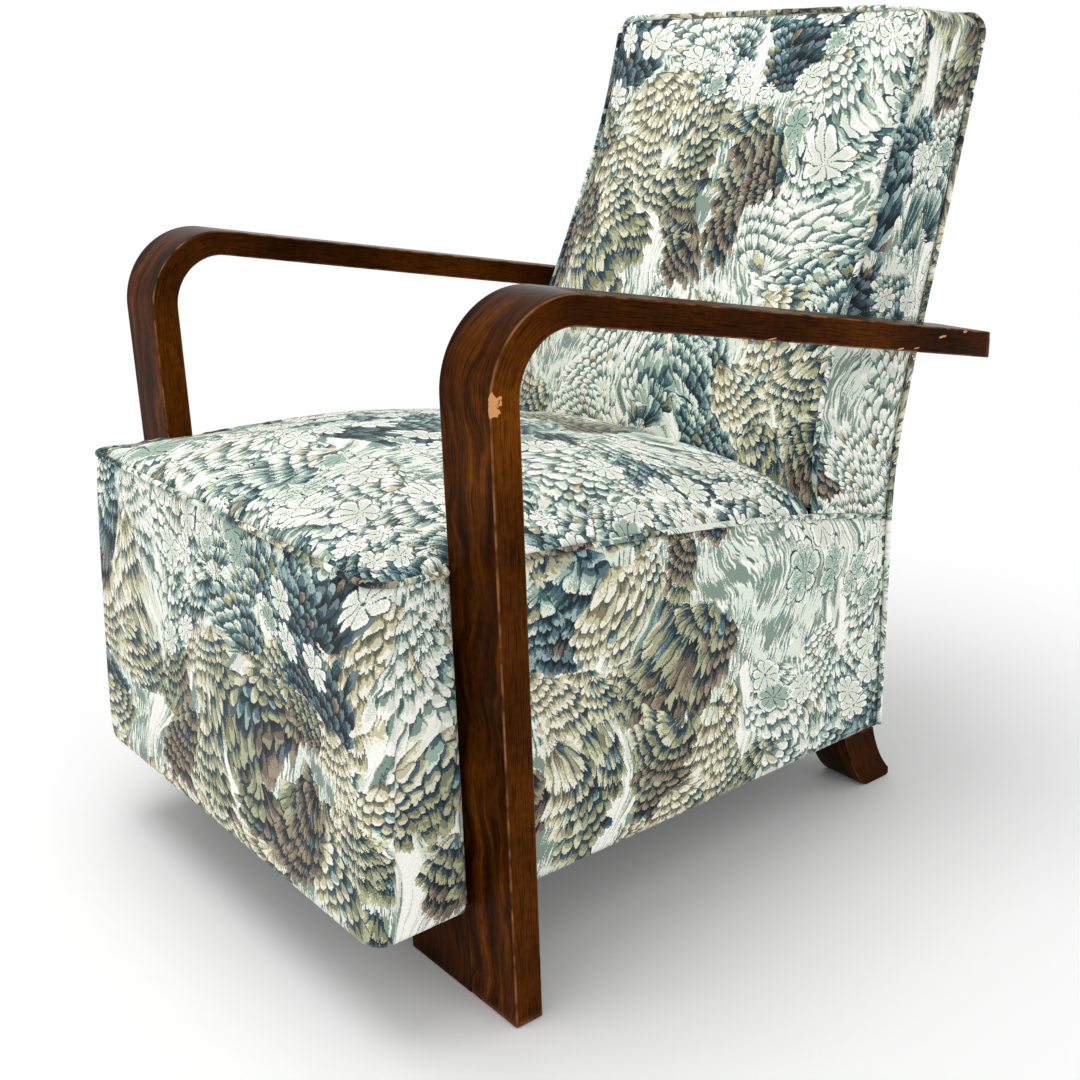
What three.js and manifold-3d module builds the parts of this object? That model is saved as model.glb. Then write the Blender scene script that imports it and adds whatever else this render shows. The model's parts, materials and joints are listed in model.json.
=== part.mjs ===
import * as THREE from "three";
import { mergeVertices } from "three/addons/utils/BufferGeometryUtils.js";
import Module from "manifold-3d";

// An upholstered armchair with a sprung seat box, a reclined back and two bent arm boards.
// Millimetres. X runs across from the middle, Y from the front legs' front face to the rear,
// Z up from the floor. Left is the sitter's left, on +X.

const wasm = await Module();
wasm.setup();

// Fits
const touch = 0.3;
const pipingGap = 0.6;
const overrun = 4;

// Arm boards: front leg, bend and armrest in one piece
const widthBetweenArms = 540;
const armWidth = 70;
const armHeight = 667;
const armRearHeight = 537;
const armShortOfStile = 4.1;
const armThick = 26.5;
const legThick = 30;
const bendOuter = 80;
const bendInner = 52;
const armEdgeEase = 2;

// Inner foot blocks, glued to the legs under the box
const footBlockWidth = 98;
const footBlockDepth = 50;
const footBlockEase = 1.5;

// Rear feet
const rearFootAside = 15;
const rearFootWidth = 60;
const rearFootTopDepth = 50;
const rearFootSetIn = 6;
const rearFootKick = 34;
const rearFootSole = 36;
const rearFootHeelRound = 7;
const rearFootEase = 1;

// Seat box, outside faces of the cover
const boxAhead = 87;
const boxFrontRake = 25;
const boxDepth = 682;
const boxProudFront = 19;
const boxSetInRear = 12;
const boxBottomFront = 101;
const boxBottomRear = 73;
const sideTopFront = 430;
const sideTopRear = 327;
const sideTopDroopShare = 0.4;
const boxCornerRound = 16;
const pinchReach = 18;
const panelSwell = 4;

// Back, outside faces of the cover
const backTop = 856;
const backTopDrop = 10;
const backSetInTop = 37;
const backFlarePower = 5;
const backFootDepth = 128;
const backHeadDepth = 104;
const backLean = 157;
const seamFootRise = 4.3;
const seamSwell = 9;
const outsideSwell = 8;
const backCornerRound = 24;

// Stuffing and cover
const sidePad = 22;
const frontPad = 20;
const outsidePad = 8;
const backSidePad = 10;
const topPad = 8;
const seatCrown = 46;
const backCrown = 24;
const seatBuildFront = 60;
const seatBuildRear = 22;
const crownPower = 4;
const stationSpacing = 70;
const pipingRadius = 3;
const pipingSides = 6;
const dustCoverThick = 2;
const hessianThick = 2;

// Hidden beech frame
const boardThick = 25;
const postWidth = 45;
const bottomRailHeight = 60;
const seatRailHeight = 50;
const stileDepth = 40;
const stileThick = 30;
const backRailHeight = 45;
const lumbarRailRise = 32;
const lowerBackRailDrop = 77;
const cornerBlockLeg = 60;
const cornerBlockHeight = 40;

// Webbing and springs
const strapThick = 2;
const strapWidth = 50;
const seatStrapsAlong = 4;
const seatStrapsAcross = 5;
const backStrapsAlong = 3;
const backStrapsAcross = 5;
const strapEdge = 12;
const springRows = 3;
const springEndRadius = 45;
const springWaistRadius = 30;
const springAcrossShare = 0.309;
const springAlongShare = 0.245;
const springSides = 14;

// Screws and spacers
const screwShank = 3;
const screwHead = 6;
const screwHeadThick = 4;
const screwTip = 6;
const screwSides = 12;
const screwBite = 20;
const lowerScrewRise = 24;
const upperScrewDrop = 25;
const armScrewInset = 20;
const spacerRadius = 18;
const footScrewBite = 40;
const blockScrewY = 38;
const dowelRadius = 6;
const dowelLength = 60;

const { lerp, clamp } = THREE.MathUtils;
const share = (value, from, to) => (value - from) / (to - from);
const point = (x, y, z) => new THREE.Vector3(x, y, z);

// Places worked out from the sizes
const armInner = widthBetweenArms / 2;
const armOuter = armInner + armWidth;
const rearFootOuter = armInner - rearFootAside;
const boxFrontHead = -boxAhead;
const boxFrontFoot = boxFrontHead - boxFrontRake;
const boxRear = boxFrontHead + boxDepth;
const boxHalfFront = armInner + boxProudFront;
const boxHalfRear = armInner - boxSetInRear;
const backHalfTop = armInner - backSetInTop;
const seamFootY = boxRear - backFootDepth;
const outsideHeadY = boxRear + backLean;
const seamHeadY = outsideHeadY - backHeadDepth;
const seamFootZ = sideTopAt(seamFootY) + seamFootRise;
const lowerBackRailZ = sideTopRear - lowerBackRailDrop;

// The seat box: where each outside face lies

const frontAt = (z) => lerp(boxFrontFoot, boxFrontHead, share(z, boxBottomFront, sideTopFront));
const bottomAt = (y) => lerp(boxBottomFront, boxBottomRear, share(y, boxFrontFoot, boxRear));
const boxHalfAt = (y) => lerp(boxHalfFront, boxHalfRear, alongBox(y));

function alongBox(y) {
  return share(y, boxFrontHead, boxRear);
}

function sideTopAt(y) {
  const u = alongBox(y);
  return lerp(sideTopFront, sideTopRear, (1 - sideTopDroopShare) * u + sideTopDroopShare * u ** 3);
}

// The leg presses the padded side in, so the cover is narrower there.
function pinchAt(y, clear) {
  const away = Math.abs(y - legThick / 2) - legThick / 2 - touch - clear;
  return 1 - THREE.MathUtils.smoothstep(away, 0, pinchReach);
}

const coverHalfAt = (y, clear = 0) => lerp(boxHalfAt(y), armInner - touch - clear, pinchAt(y, clear));

const woodHalfAt = (y) => boxHalfAt(y) - sidePad;
const seatBaseAt = (y) => lerp(sideTopFront - seatBuildFront, sideTopRear - seatBuildRear, alongBox(y));
const railFootAt = (y) => bottomAt(y) + dustCoverThick + touch;
const webAt = (y) => railFootAt(y) + bottomRailHeight + touch;

// The back: its front seam, outside face and half width at a height

const alongBack = (z) => share(z, seamFootZ, backTop);
const seamAt = (z) => lerp(seamFootY, seamHeadY, alongBack(z)) - seamSwell * Math.sin(2 * Math.PI * alongBack(z));
const aboveBox = (z) => Math.max(share(z, sideTopRear, backTop), 0);
const stileBackAt = (z) => lerp(boxRear, outsideHeadY, aboveBox(z)) - outsidePad - touch;
const stileFrontAt = (z) => stileBackAt(z) - stileDepth;
const outsideFullness = (z) => outsideSwell * Math.sin(Math.PI * Math.min(aboveBox(z), 1));
const outsideAt = (z) => stileBackAt(z) + touch + outsidePad + outsideFullness(z);
const stileOuterAt = (z) => lerp(boxHalfRear - sidePad, backHalfTop - backSidePad, share(z, boxBottomRear, backTop));
const stileInnerAt = (z) => stileOuterAt(z) - stileThick;

function backHalfAt(y, z) {
  const rise = clamp(share(z, backTop, sideTopAt(y)), 0, 1);
  return lerp(backHalfTop, boxHalfAt(y), rise ** backFlarePower);
}

const topDropAt = (y) => backTopDrop * share(y, seamHeadY, outsideHeadY);

// Solids from points. A body built inside out is turned.

function closedBody(points, triangles) {
  let volume = 0;
  for (const [a, b, c] of triangles) {
    volume += points[a].dot(points[b].clone().cross(points[c]));
  }
  const order = volume < 0 ? triangles.map(([a, b, c]) => [a, c, b]) : triangles;
  const geometry = new THREE.BufferGeometry().setFromPoints(points);
  geometry.setIndex(order.flat());
  return geometry;
}

function band(ringA, ringB, count) {
  const triangles = [];
  for (let i = 0; i < count; i++) {
    const j = (i + 1) % count;
    triangles.push([ringA + i, ringA + j, ringB + j], [ringA + i, ringB + j, ringB + i]);
  }
  return triangles;
}

// Rings of equal count, joined in order and closed with a fan at both ends.
function loft(rings) {
  const count = rings[0].length;
  const triangles = [];
  for (let r = 0; r + 1 < rings.length; r++) {
    triangles.push(...band(r * count, (r + 1) * count, count));
  }
  const last = (rings.length - 1) * count;
  for (let i = 1; i + 1 < count; i++) {
    triangles.push([0, i + 1, i], [last, last + i, last + i + 1]);
  }
  return closedBody(rings.flat(), triangles);
}

// A board with six flat sides. Each limit is a length or a function: x of (y, z), y of z, z of y.
function board(x, y, z) {
  const value = (limit, ...from) => (typeof limit === "function" ? limit(...from) : limit);
  const settling = 4;
  const corner = (i, j, k) => {
    let [depth, height] = [0, 0];
    for (let turn = 0; turn < settling; turn++) {
      height = value(z[k], depth);
      depth = value(y[j], height);
    }
    return point(value(x[i], depth, height), depth, height);
  };
  return loft([0, 1].map((k) => [corner(0, 0, k), corner(1, 0, k), corner(1, 1, k), corner(0, 1, k)]));
}

// A padded panel: an inner and an outer sheet over the same columns and rows, closed round the rim.
function panel(columns, rows, inner, outer) {
  const width = columns.length;
  const sheet = (surface) => rows.flatMap((v) => columns.map((u) => surface(u, v)));
  const points = [...sheet(inner), ...sheet(outer)];
  const outerFrom = width * rows.length;
  const triangles = [];
  for (let r = 0; r + 1 < rows.length; r++) {
    for (let c = 0; c + 1 < width; c++) {
      const a = r * width + c;
      const [b, d, e] = [a + 1, a + width, a + width + 1];
      triangles.push([a, b, e], [a, e, d]);
      triangles.push([outerFrom + a, outerFrom + e, outerFrom + b], [outerFrom + a, outerFrom + d, outerFrom + e]);
    }
  }
  const rim = [
    ...columns.map((_, c) => c),
    ...rows.slice(1).map((_, r) => (r + 2) * width - 1),
    ...columns.slice(1).map((_, c) => outerFrom - 2 - c),
    ...rows.slice(1, -1).map((_, r) => (rows.length - 2 - r) * width),
  ];
  rim.forEach((a, i) => {
    const b = rim[(i + 1) % rim.length];
    triangles.push([a, a + outerFrom, b + outerFrom], [a, b + outerFrom, b]);
  });
  return closedBody(points, triangles);
}

// A cushion over an outline: rings drawn in to the middle, on a crowned top and on a base.
function cushion(outline, middle, rings, top, base) {
  const count = outline.length;
  const points = [];
  const triangles = [];
  for (const surface of [top, base]) {
    const from = points.length;
    for (let r = 0; r < rings; r++) {
      const s = 1 - r / rings;
      points.push(...outline.map(([a, b]) => surface(lerp(middle[0], a, s), lerp(middle[1], b, s), s)));
    }
    points.push(surface(middle[0], middle[1], 0));
    const faces = [];
    for (let r = 0; r + 1 < rings; r++) {
      faces.push(...band(from + r * count, from + (r + 1) * count, count));
    }
    const inmost = from + (rings - 1) * count;
    for (let i = 0; i < count; i++) {
      faces.push([inmost + i, inmost + ((i + 1) % count), from + rings * count]);
    }
    triangles.push(...(surface === top ? faces : faces.map(([a, b, c]) => [a, c, b])));
  }
  triangles.push(...band(rings * count + 1, 0, count));
  return closedBody(points, triangles);
}

// A path through stations, with a ring of the tube at each one.
class StationPath extends THREE.Curve {
  constructor(stations) {
    super();
    this.stations = stations;
  }
  getPoint(t) {
    const last = this.stations.length - 1;
    const i = Math.min(Math.floor(t * last), last - 1);
    return this.stations[i].clone().lerp(this.stations[i + 1], t * last - i);
  }
  getPointAt(t) {
    return this.getPoint(t);
  }
  getTangentAt(t) {
    const last = this.stations.length - 1;
    const i = Math.round(t * last);
    const [before, after] = [this.stations[Math.max(i - 1, 0)], this.stations[Math.min(i + 1, last)]];
    return after.clone().sub(before).normalize();
  }
}

function circleShape(radius, sides) {
  const corners = [];
  for (let i = 0; i < sides; i++) {
    const turn = (2 * Math.PI * i) / sides;
    corners.push(new THREE.Vector2(radius * Math.cos(turn), radius * Math.sin(turn)));
  }
  return new THREE.Shape(corners);
}

function piping(stations) {
  const section = circleShape(pipingRadius, pipingSides);
  const steps = stations.length - 1;
  return new THREE.ExtrudeGeometry(section, { steps, extrudePath: new StationPath(stations) });
}

// A round corner between two straight runs of an outline in (y, z) or (x, z).
function roundCorner(before, corner, after, radius, steps) {
  const [toBefore, toAfter] = [before, after].map((end) => end.clone().sub(corner).normalize());
  const half = toBefore.angleTo(toAfter) / 2;
  const middle = toBefore.clone().add(toAfter).normalize().multiplyScalar(radius / Math.sin(half)).add(corner);
  const start = toBefore.clone().multiplyScalar(radius / Math.tan(half)).add(corner).sub(middle);
  const end = toAfter.clone().multiplyScalar(radius / Math.tan(half)).add(corner).sub(middle);
  const from = start.angle();
  let sweep = end.angle() - from;
  if (sweep > Math.PI) sweep -= 2 * Math.PI;
  if (sweep < -Math.PI) sweep += 2 * Math.PI;
  const arc = [];
  for (let i = 0; i <= steps; i++) {
    const turn = from + (sweep * i) / steps;
    arc.push(new THREE.Vector2(radius * Math.cos(turn), radius * Math.sin(turn)).add(middle));
  }
  return arc;
}

// An outline in (y, z), extruded across X between two places with eased edges.
function extrudeAcross(outline, fromX, toX, ease) {
  const options = { steps: 1, depth: toX - fromX - 2 * ease, bevelEnabled: true, bevelSegments: 1 };
  Object.assign(options, { bevelSize: ease, bevelThickness: ease, bevelOffset: -ease });
  const geometry = new THREE.ExtrudeGeometry(new THREE.Shape(outline), options);
  const across = new THREE.Matrix4().makeBasis(point(0, 1, 0), point(0, 0, 1), point(1, 0, 0));
  return geometry.applyMatrix4(across).translate(fromX + ease, 0, 0);
}

// Joining and cutting

function solidOf(geometry) {
  const plain = geometry.clone();
  plain.deleteAttribute("normal");
  plain.deleteAttribute("uv");
  const merged = mergeVertices(plain);
  const triVerts = new Uint32Array(merged.index.array);
  const vertProperties = merged.attributes.position.array;
  return new wasm.Manifold(new wasm.Mesh({ numProp: 3, vertProperties, triVerts }));
}

function geometryOf(solid) {
  const mesh = solid.getMesh();
  const geometry = new THREE.BufferGeometry();
  geometry.setAttribute("position", new THREE.BufferAttribute(mesh.vertProperties, mesh.numProp));
  geometry.setIndex(new THREE.BufferAttribute(mesh.triVerts, 1));
  return geometry;
}

function join(first, ...others) {
  return geometryOf(others.reduce((sum, next) => sum.add(solidOf(next)), solidOf(first)));
}

function cut(body, ...tools) {
  return geometryOf(tools.reduce((rest, tool) => rest.subtract(solidOf(tool)), solidOf(body)));
}

function mirrored(geometry) {
  const copy = geometry.index ? geometry.toNonIndexed() : geometry.clone();
  const positions = copy.attributes.position;
  for (let i = 0; i < positions.count; i += 3) {
    const corners = [0, 2, 1].map((k) => point(0, 0, 0).fromBufferAttribute(positions, i + k));
    corners.forEach((corner, k) => positions.setXYZ(i + k, -corner.x, corner.y, corner.z));
  }
  return copy;
}

// Materials

const paint = (color, roughness, metalness = 0) => ({ color, roughness, metalness, flatShading: true });
const materials = {
  walnut: paint(0x4d2410, 0.35),
  beech: paint(0xb98f62, 0.7),
  cover: paint(0xa9bab0, 0.9),
  piping: paint(0xd9dccf, 0.9),
  jute: paint(0xa58555, 0.95),
  cambric: paint(0x2b2a28, 0.95),
  steel: paint(0x8c8f92, 0.4, 1),
};

const chair = new THREE.Group();

function add(name, geometry, slot) {
  const mesh = new THREE.Mesh(geometry, new THREE.MeshStandardMaterial(materials[slot]));
  mesh.name = name;
  chair.add(mesh);
}

function addPair(name, geometry, slot) {
  add(`${name}_left`, geometry, slot);
  add(`${name}_right`, mirrored(geometry), slot);
}

// Screws stand along a direction, head first. A hole is the shank's way with its clearance.

function standAlong(geometry, at, direction) {
  const turn = new THREE.Quaternion().setFromUnitVectors(point(0, 1, 0), direction.clone().normalize());
  return geometry.applyQuaternion(turn).translate(at.x, at.y, at.z);
}

function turned(profile, at, direction, sides = screwSides) {
  const corners = profile.map(([r, h]) => new THREE.Vector2(r, h));
  return standAlong(new THREE.LatheGeometry(corners, sides), at, direction);
}

function bore(at, direction, radius, from, to) {
  return turned([[0, from], [radius, from], [radius, to], [0, to]], at, direction);
}

function screw(at, direction, length) {
  const profile = [
    [0, -screwHeadThick - touch],
    [screwHead, -screwHeadThick - touch],
    [screwHead, -touch],
    [screwShank, -touch],
    [screwShank, length - screwTip],
    [0, length],
  ];
  return turned(profile, at, direction);
}

const screwHole = (at, direction, length) => bore(at, direction, screwShank + touch, -overrun, length + touch);

const outward = point(1, 0, 0);
const downward = point(0, 0, -1);

const legMiddle = legThick / 2;
const lowerRailInner = woodHalfAt(legMiddle) - boardThick;
const legScrewLength = armInner - lowerRailInner + screwBite;
const lowerScrewAt = point(lowerRailInner, legMiddle, railFootAt(legMiddle) + lowerScrewRise);
const upperScrewAt = point(lowerRailInner, legMiddle, seatBaseAt(legMiddle) - touch - upperScrewDrop);

const armReach = stileBackAt(armRearHeight - armThick / 2) - armShortOfStile;
const armSlope = (armHeight - armRearHeight) / armReach;
const armTopAt = (y) => armHeight - armSlope * y;
const armMiddleAt = (y) => armTopAt(y) - armThick / 2;
const armScrewY = armReach - armScrewInset;
const armScrewZ = armMiddleAt(armScrewY);
const armScrewAt = point(stileInnerAt(armScrewZ), armScrewY, armScrewZ);
const armScrewLength = armInner - armScrewAt.x + screwBite;

const blockScrewX = woodHalfAt(blockScrewY) - boardThick / 2;
const blockScrewAt = point(blockScrewX, blockScrewY, railFootAt(blockScrewY) + bottomRailHeight / 2);
const blockScrewLength = footScrewBite + bottomRailHeight / 2;

const rearFootBackY = boxRear - rearFootSetIn;
const dowelX = stileOuterAt(boxBottomRear) - stileThick / 2;
const dowelY = stileBackAt(boxBottomRear) - stileDepth / 2;
const dowelAt = point(dowelX, dowelY, railFootAt(dowelY) + dowelLength / 2);

const legScrews = [lowerScrewAt, upperScrewAt];
const legHoles = legScrews.map((at) => screwHole(at, outward, legScrewLength));
const armHole = screwHole(armScrewAt, outward, armScrewLength);
const blockHole = screwHole(blockScrewAt, downward, blockScrewLength);
const sunkHead = bore(blockScrewAt, downward, screwHead + touch, -bottomRailHeight, 0);
const dowelHole = bore(dowelAt, downward, dowelRadius + touch, -touch, dowelLength + touch);

function armBoard() {
  const [outerSteps, innerSteps] = [10, 8];
  const drop = armThick * Math.hypot(1, armSlope);
  const vector = (y, z) => new THREE.Vector2(y, z);
  const outerEnd = vector(armReach, armTopAt(armReach));
  const innerEnd = vector(armReach, armTopAt(armReach) - drop);
  const outerCorner = vector(0, armHeight);
  const innerCorner = vector(legThick, armTopAt(legThick) - drop);
  const [outerFoot, innerFoot] = [vector(0, 0), vector(legThick, 0)];
  const outline = [
    outerFoot,
    ...roundCorner(outerFoot, outerCorner, outerEnd, bendOuter, outerSteps),
    outerEnd,
    innerEnd,
    ...roundCorner(innerEnd, innerCorner, innerFoot, bendInner, innerSteps),
    innerFoot,
  ];
  return cut(extrudeAcross(outline, armInner, armOuter, armEdgeEase), ...legHoles, armHole);
}

function footBlock() {
  const top = (y) => bottomAt(y) - touch;
  const outline = [
    new THREE.Vector2(0, 0),
    new THREE.Vector2(0, top(0)),
    new THREE.Vector2(footBlockDepth, top(footBlockDepth)),
    new THREE.Vector2(footBlockDepth, 0),
  ];
  const [innerX, outerX] = [armInner - touch - footBlockWidth, armInner - touch];
  return cut(extrudeAcross(outline, innerX, outerX, footBlockEase), blockHole);
}

// Sabre profile: the front falls back to the toe and the rear kicks out to a rounded heel.
function rearFoot() {
  const steps = 7;
  const [toeShare, heelShare, toeDropShare, heelDropShare] = [0.45, 0.28, 0.78, 0.55];
  const frontTop = rearFootBackY - rearFootTopDepth;
  const heel = rearFootBackY + rearFootKick;
  const toe = heel - rearFootSole - rearFootHeelRound;
  const [frontZ, rearZ] = [frontTop, rearFootBackY].map((y) => bottomAt(y) - touch);
  const vector = (y, z) => new THREE.Vector2(y, z);
  const front = new THREE.QuadraticBezierCurve(
    vector(toe, 0),
    vector(lerp(frontTop, toe, toeShare), frontZ * (1 - toeDropShare)),
    vector(frontTop, frontZ),
  );
  const rear = new THREE.QuadraticBezierCurve(
    vector(rearFootBackY, rearZ),
    vector(lerp(rearFootBackY, heel, heelShare), rearZ * (1 - heelDropShare)),
    vector(heel, rearFootHeelRound),
  );
  const outline = [...front.getPoints(steps), ...rear.getPoints(steps), vector(heel - rearFootHeelRound, 0)];
  const body = extrudeAcross(outline, rearFootOuter - rearFootWidth, rearFootOuter, rearFootEase);
  return cut(body, dowelHole);
}

// Beech frame

const frameFront = (z) => frontAt(z) + frontPad + touch;
const behindFront = (z) => frameFront(z) + boardThick;
const sideRailStart = (z) => behindFront(z) + touch;
const sideRailEnd = (z) => stileFrontAt(z) - touch;
const seatRailTop = (y) => seatBaseAt(y) - touch;
const seatRailFoot = (y) => seatRailTop(y) - seatRailHeight;
const railTop = (y) => railFootAt(y) + bottomRailHeight;
const postInner = (y) => woodHalfAt(y) - postWidth;
const betweenPosts = (y) => postInner(y) - touch;
const sideX = [(y) => woodHalfAt(y) - boardThick, woodHalfAt];
const backCornerFoot = backTop - backCornerRound;
const rearTop = backTop - backTopDrop - topPad - touch;

function stile() {
  const heights = [railFootAt, () => sideTopRear, () => backCornerFoot - backTopDrop - touch];
  return loft(heights.map((height) => {
    const z = height(boxRear);
    const [inner, outer, front, back] = [stileInnerAt(z), stileOuterAt(z), stileFrontAt(z), stileBackAt(z)];
    return [[inner, front], [outer, front], [outer, back], [inner, back]].map(([x, y]) => point(x, y, height(y)));
  }));
}

function rearRail(foot, head) {
  const half = (y, z) => stileInnerAt(z) - touch;
  return board([(y, z) => -half(y, z), half], [stileFrontAt, stileBackAt], [foot, head]);
}

function addFrame() {
  const posts = board([postInner, woodHalfAt], [frameFront, behindFront], [railFootAt, seatRailTop]);
  addPair("front_post", posts, "beech");
  const acrossFront = [(y) => -betweenPosts(y), betweenPosts];
  add("bottom_rail_front", board(acrossFront, [frameFront, behindFront], [railFootAt, railTop]), "beech");
  add("seat_rail_front", board(acrossFront, [frameFront, behindFront], [seatRailFoot, seatRailTop]), "beech");
  const bottomRail = board(sideX, [sideRailStart, sideRailEnd], [railFootAt, railTop]);
  addPair("bottom_rail", cut(bottomRail, legHoles[0], blockHole, sunkHead), "beech");
  const seatRail = board(sideX, [sideRailStart, sideRailEnd], [seatRailFoot, seatRailTop]);
  addPair("seat_rail", cut(seatRail, legHoles[1]), "beech");
  addPair("stile", cut(stile(), armHole, dowelHole), "beech");
  add("bottom_rail_rear", rearRail(railFootAt, railTop), "beech");
  add("back_rail_lower", rearRail(lowerBackRailZ, lowerBackRailZ + backRailHeight), "beech");
  const lumbarRailZ = armScrewZ + lumbarRailRise;
  add("back_rail_lumbar", rearRail(lumbarRailZ, lumbarRailZ + backRailHeight), "beech");
  add("back_rail_top", rearRail(rearTop - backRailHeight, rearTop), "beech");
}

// Glued corner blocks behind the front rail
function cornerBlock() {
  const corner = (y) => woodHalfAt(y) - boardThick - touch;
  return loft([0, cornerBlockHeight].map((rise) => {
    const front = sideRailStart(railFootAt(0) + rise);
    const rear = front + cornerBlockLeg;
    const plan = [[corner(front), front], [corner(rear), rear], [corner(front) - cornerBlockLeg, front]];
    return plan.map(([x, y]) => point(x, y, railFootAt(y) + rise));
  }));
}

// Straps woven both ways, stitched where they cross, so they lie as one net
function strapNet(along, across, cell) {
  const straps = [];
  for (let i = 0; i < along; i++) {
    straps.push(cell((i + 1) / (along + 1), true));
  }
  for (let j = 0; j < across; j++) {
    straps.push(cell((j + 1) / (across + 1), false));
  }
  return join(...straps);
}

function seatStrap(place, along) {
  const [front, rear] = [sideRailStart(railFootAt(0)) + overrun, stileFrontAt(boxBottomRear) - overrun];
  const half = betweenPosts(0) - strapEdge;
  const z = [webAt, (y) => webAt(y) + strapThick];
  if (along) {
    const middle = lerp(-half, half, place);
    const ends = [front - boardThick / 2, rear + stileDepth / 2];
    return board([middle - strapWidth / 2, middle + strapWidth / 2], ends, z);
  }
  const middle = lerp(front, rear, place);
  const reach = (y) => woodHalfAt(y) - strapEdge / 2;
  return board([(y) => -reach(y), reach], [middle - strapWidth / 2, middle + strapWidth / 2], z);
}

function backStrap(place, along) {
  const [foot, head] = [lowerBackRailZ + backRailHeight / 2, backTop - topPad - backRailHeight];
  const half = stileInnerAt(backTop) - strapEdge;
  const y = [(z) => stileFrontAt(z) - touch - strapThick, (z) => stileFrontAt(z) - touch];
  const kinked = (x, from, to) => {
    const [low, high] = [board(x, y, [from, sideTopRear]), board(x, y, [sideTopRear, to])];
    return join(low, high);
  };
  if (along) {
    const middle = lerp(-half, half, place);
    return kinked([middle - strapWidth / 2, middle + strapWidth / 2], foot, head);
  }
  const middle = lerp(sideTopRear, head, place);
  const reach = (depth, z) => stileOuterAt(z) - strapEdge / 2;
  return board([(...at) => -reach(...at), reach], y, [middle - strapWidth / 2, middle + strapWidth / 2]);
}

// Hourglass springs under the seat, plain because nothing shows them
function seatSpring(column, row) {
  const levels = 8;
  const middle = (springRows - 1) / 2;
  const middleY = (boxFrontHead + boxRear) / 2;
  const clearWidth = 2 * (woodHalfAt(middleY) - boardThick);
  const clearLength = sideRailEnd(boxBottomRear) - sideRailStart(boxBottomFront);
  const atX = (column - middle) * springAcrossShare * clearWidth;
  const atY = (row - middle) * springAlongShare * clearLength + middleY;
  const profile = [new THREE.Vector2(0, 0)];
  for (let i = 0; i <= levels; i++) {
    const h = i / levels;
    profile.push(new THREE.Vector2(lerp(springWaistRadius, springEndRadius, (2 * h - 1) ** 2), h));
  }
  profile.push(new THREE.Vector2(0, 1));
  const geometry = new THREE.LatheGeometry(profile, springSides);
  const positions = geometry.attributes.position;
  for (let i = 0; i < positions.count; i++) {
    const [x, h, across] = [positions.getX(i), positions.getY(i), positions.getZ(i)];
    const y = atY - across;
    positions.setXYZ(i, atX + x, y, lerp(webAt(y) + strapThick + touch, seatBaseAt(y) - touch, h));
  }
  return geometry;
}

function addSuspension() {
  addPair("corner_block", cornerBlock(), "beech");
  add("seat_webbing", strapNet(seatStrapsAlong, seatStrapsAcross, seatStrap), "jute");
  add("back_webbing", strapNet(backStrapsAlong, backStrapsAcross, backStrap), "jute");
  for (let row = 0; row < springRows; row++) {
    for (let column = 0; column < springRows; column++) {
      add(`seat_spring_${row * springRows + column + 1}`, seatSpring(column, row), "steel");
    }
  }
  const half = (y) => woodHalfAt(y) - touch;
  const hessianEnd = (z) => stileFrontAt(z) - strapThick - 2 * touch;
  const hessianTop = (y) => seatBaseAt(y) + hessianThick;
  const hessian = board([(y) => -half(y), half], [frameFront, hessianEnd], [seatBaseAt, hessianTop]);
  add("seat_hessian", hessian, "jute");
}

// Upholstery

const seatTopZ = (y) => sideTopAt(y) - pipingRadius - touch;
const pipingInset = pipingRadius + pipingGap;

function evenly(count, from = 0, to = 1) {
  return Array.from({ length: count + 1 }, (_, i) => lerp(from, to, i / count));
}

const hump = (s) => Math.sqrt(Math.max(1 - Math.abs(2 * s - 1) ** crownPower, 0));

// Places along a side, closer together where the leg presses in
function sideStations(from, to) {
  const pinched = [-pinchReach, -pinchReach / 2, 0, legThick, legThick + pinchReach / 2, legThick + pinchReach];
  const inside = pinched.filter((y) => y > from + overrun && y < to - overrun);
  const last = inside.length ? inside[inside.length - 1] : from;
  const rest = evenly(Math.round((to - last) / stationSpacing), last, to).slice(1);
  return [from, ...inside, ...rest];
}

function sidePanel() {
  const rows = evenly(6);
  const startAt = (z) => frontAt(z) + frontPad + touch;
  const endAt = (z) => outsideAt(z) - outsidePad - 2 * touch;
  const columns = sideStations(startAt(sideTopFront), endAt(boxBottomRear));
  const place = (y, v, x) => {
    const z = lerp(bottomAt(y), seatTopZ(y) - touch, v);
    const u = share(y, columns[0], columns[columns.length - 1]);
    const depth = lerp(startAt(z), y, Math.min(u * columns.length, 1));
    return point(x(depth, u, v), depth, z);
  };
  const swell = (u, v) => panelSwell * (hump(u) * hump(v) - 1);
  const inner = (y, v) => place(y, v, (depth) => woodHalfAt(depth) + touch);
  const outer = (y, v) => place(y, v, (depth, u) => coverHalfAt(depth) + swell(u, v) * (1 - pinchAt(depth, 0)));
  return cut(panel(columns, rows, inner, outer), ...legHoles);
}

// The front panel turns both corners with a soft round.
function frontPanel() {
  const steps = 4;
  const rings = evenly(6).map((v) => {
    const level = (y) => lerp(bottomAt(y), seatTopZ(y) - touch, v);
    const z = level(boxFrontHead);
    const [front, half] = [frontAt(z) - panelSwell * hump(v) + panelSwell, boxHalfFront];
    const place = (x, y) => point(x, y, level(y));
    const ring = [place(-half, frontAt(z) + frontPad)];
    for (const side of [-1, 1]) {
      for (let i = 0; i <= steps; i++) {
        const turn = (Math.PI / 2) * (side < 0 ? i / steps : 1 - i / steps);
        const [dx, dy] = [boxCornerRound * (1 - Math.cos(turn)), boxCornerRound * (1 - Math.sin(turn))];
        ring.push(place(side * (half - dx), front + dy));
      }
    }
    ring.push(place(half, frontAt(z) + frontPad));
    return ring;
  });
  return loft(rings);
}

// Share of the full width that the cover has, away from the legs
const outsidePinch = (y) => 1 - pinchAt(y, 0);

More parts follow.
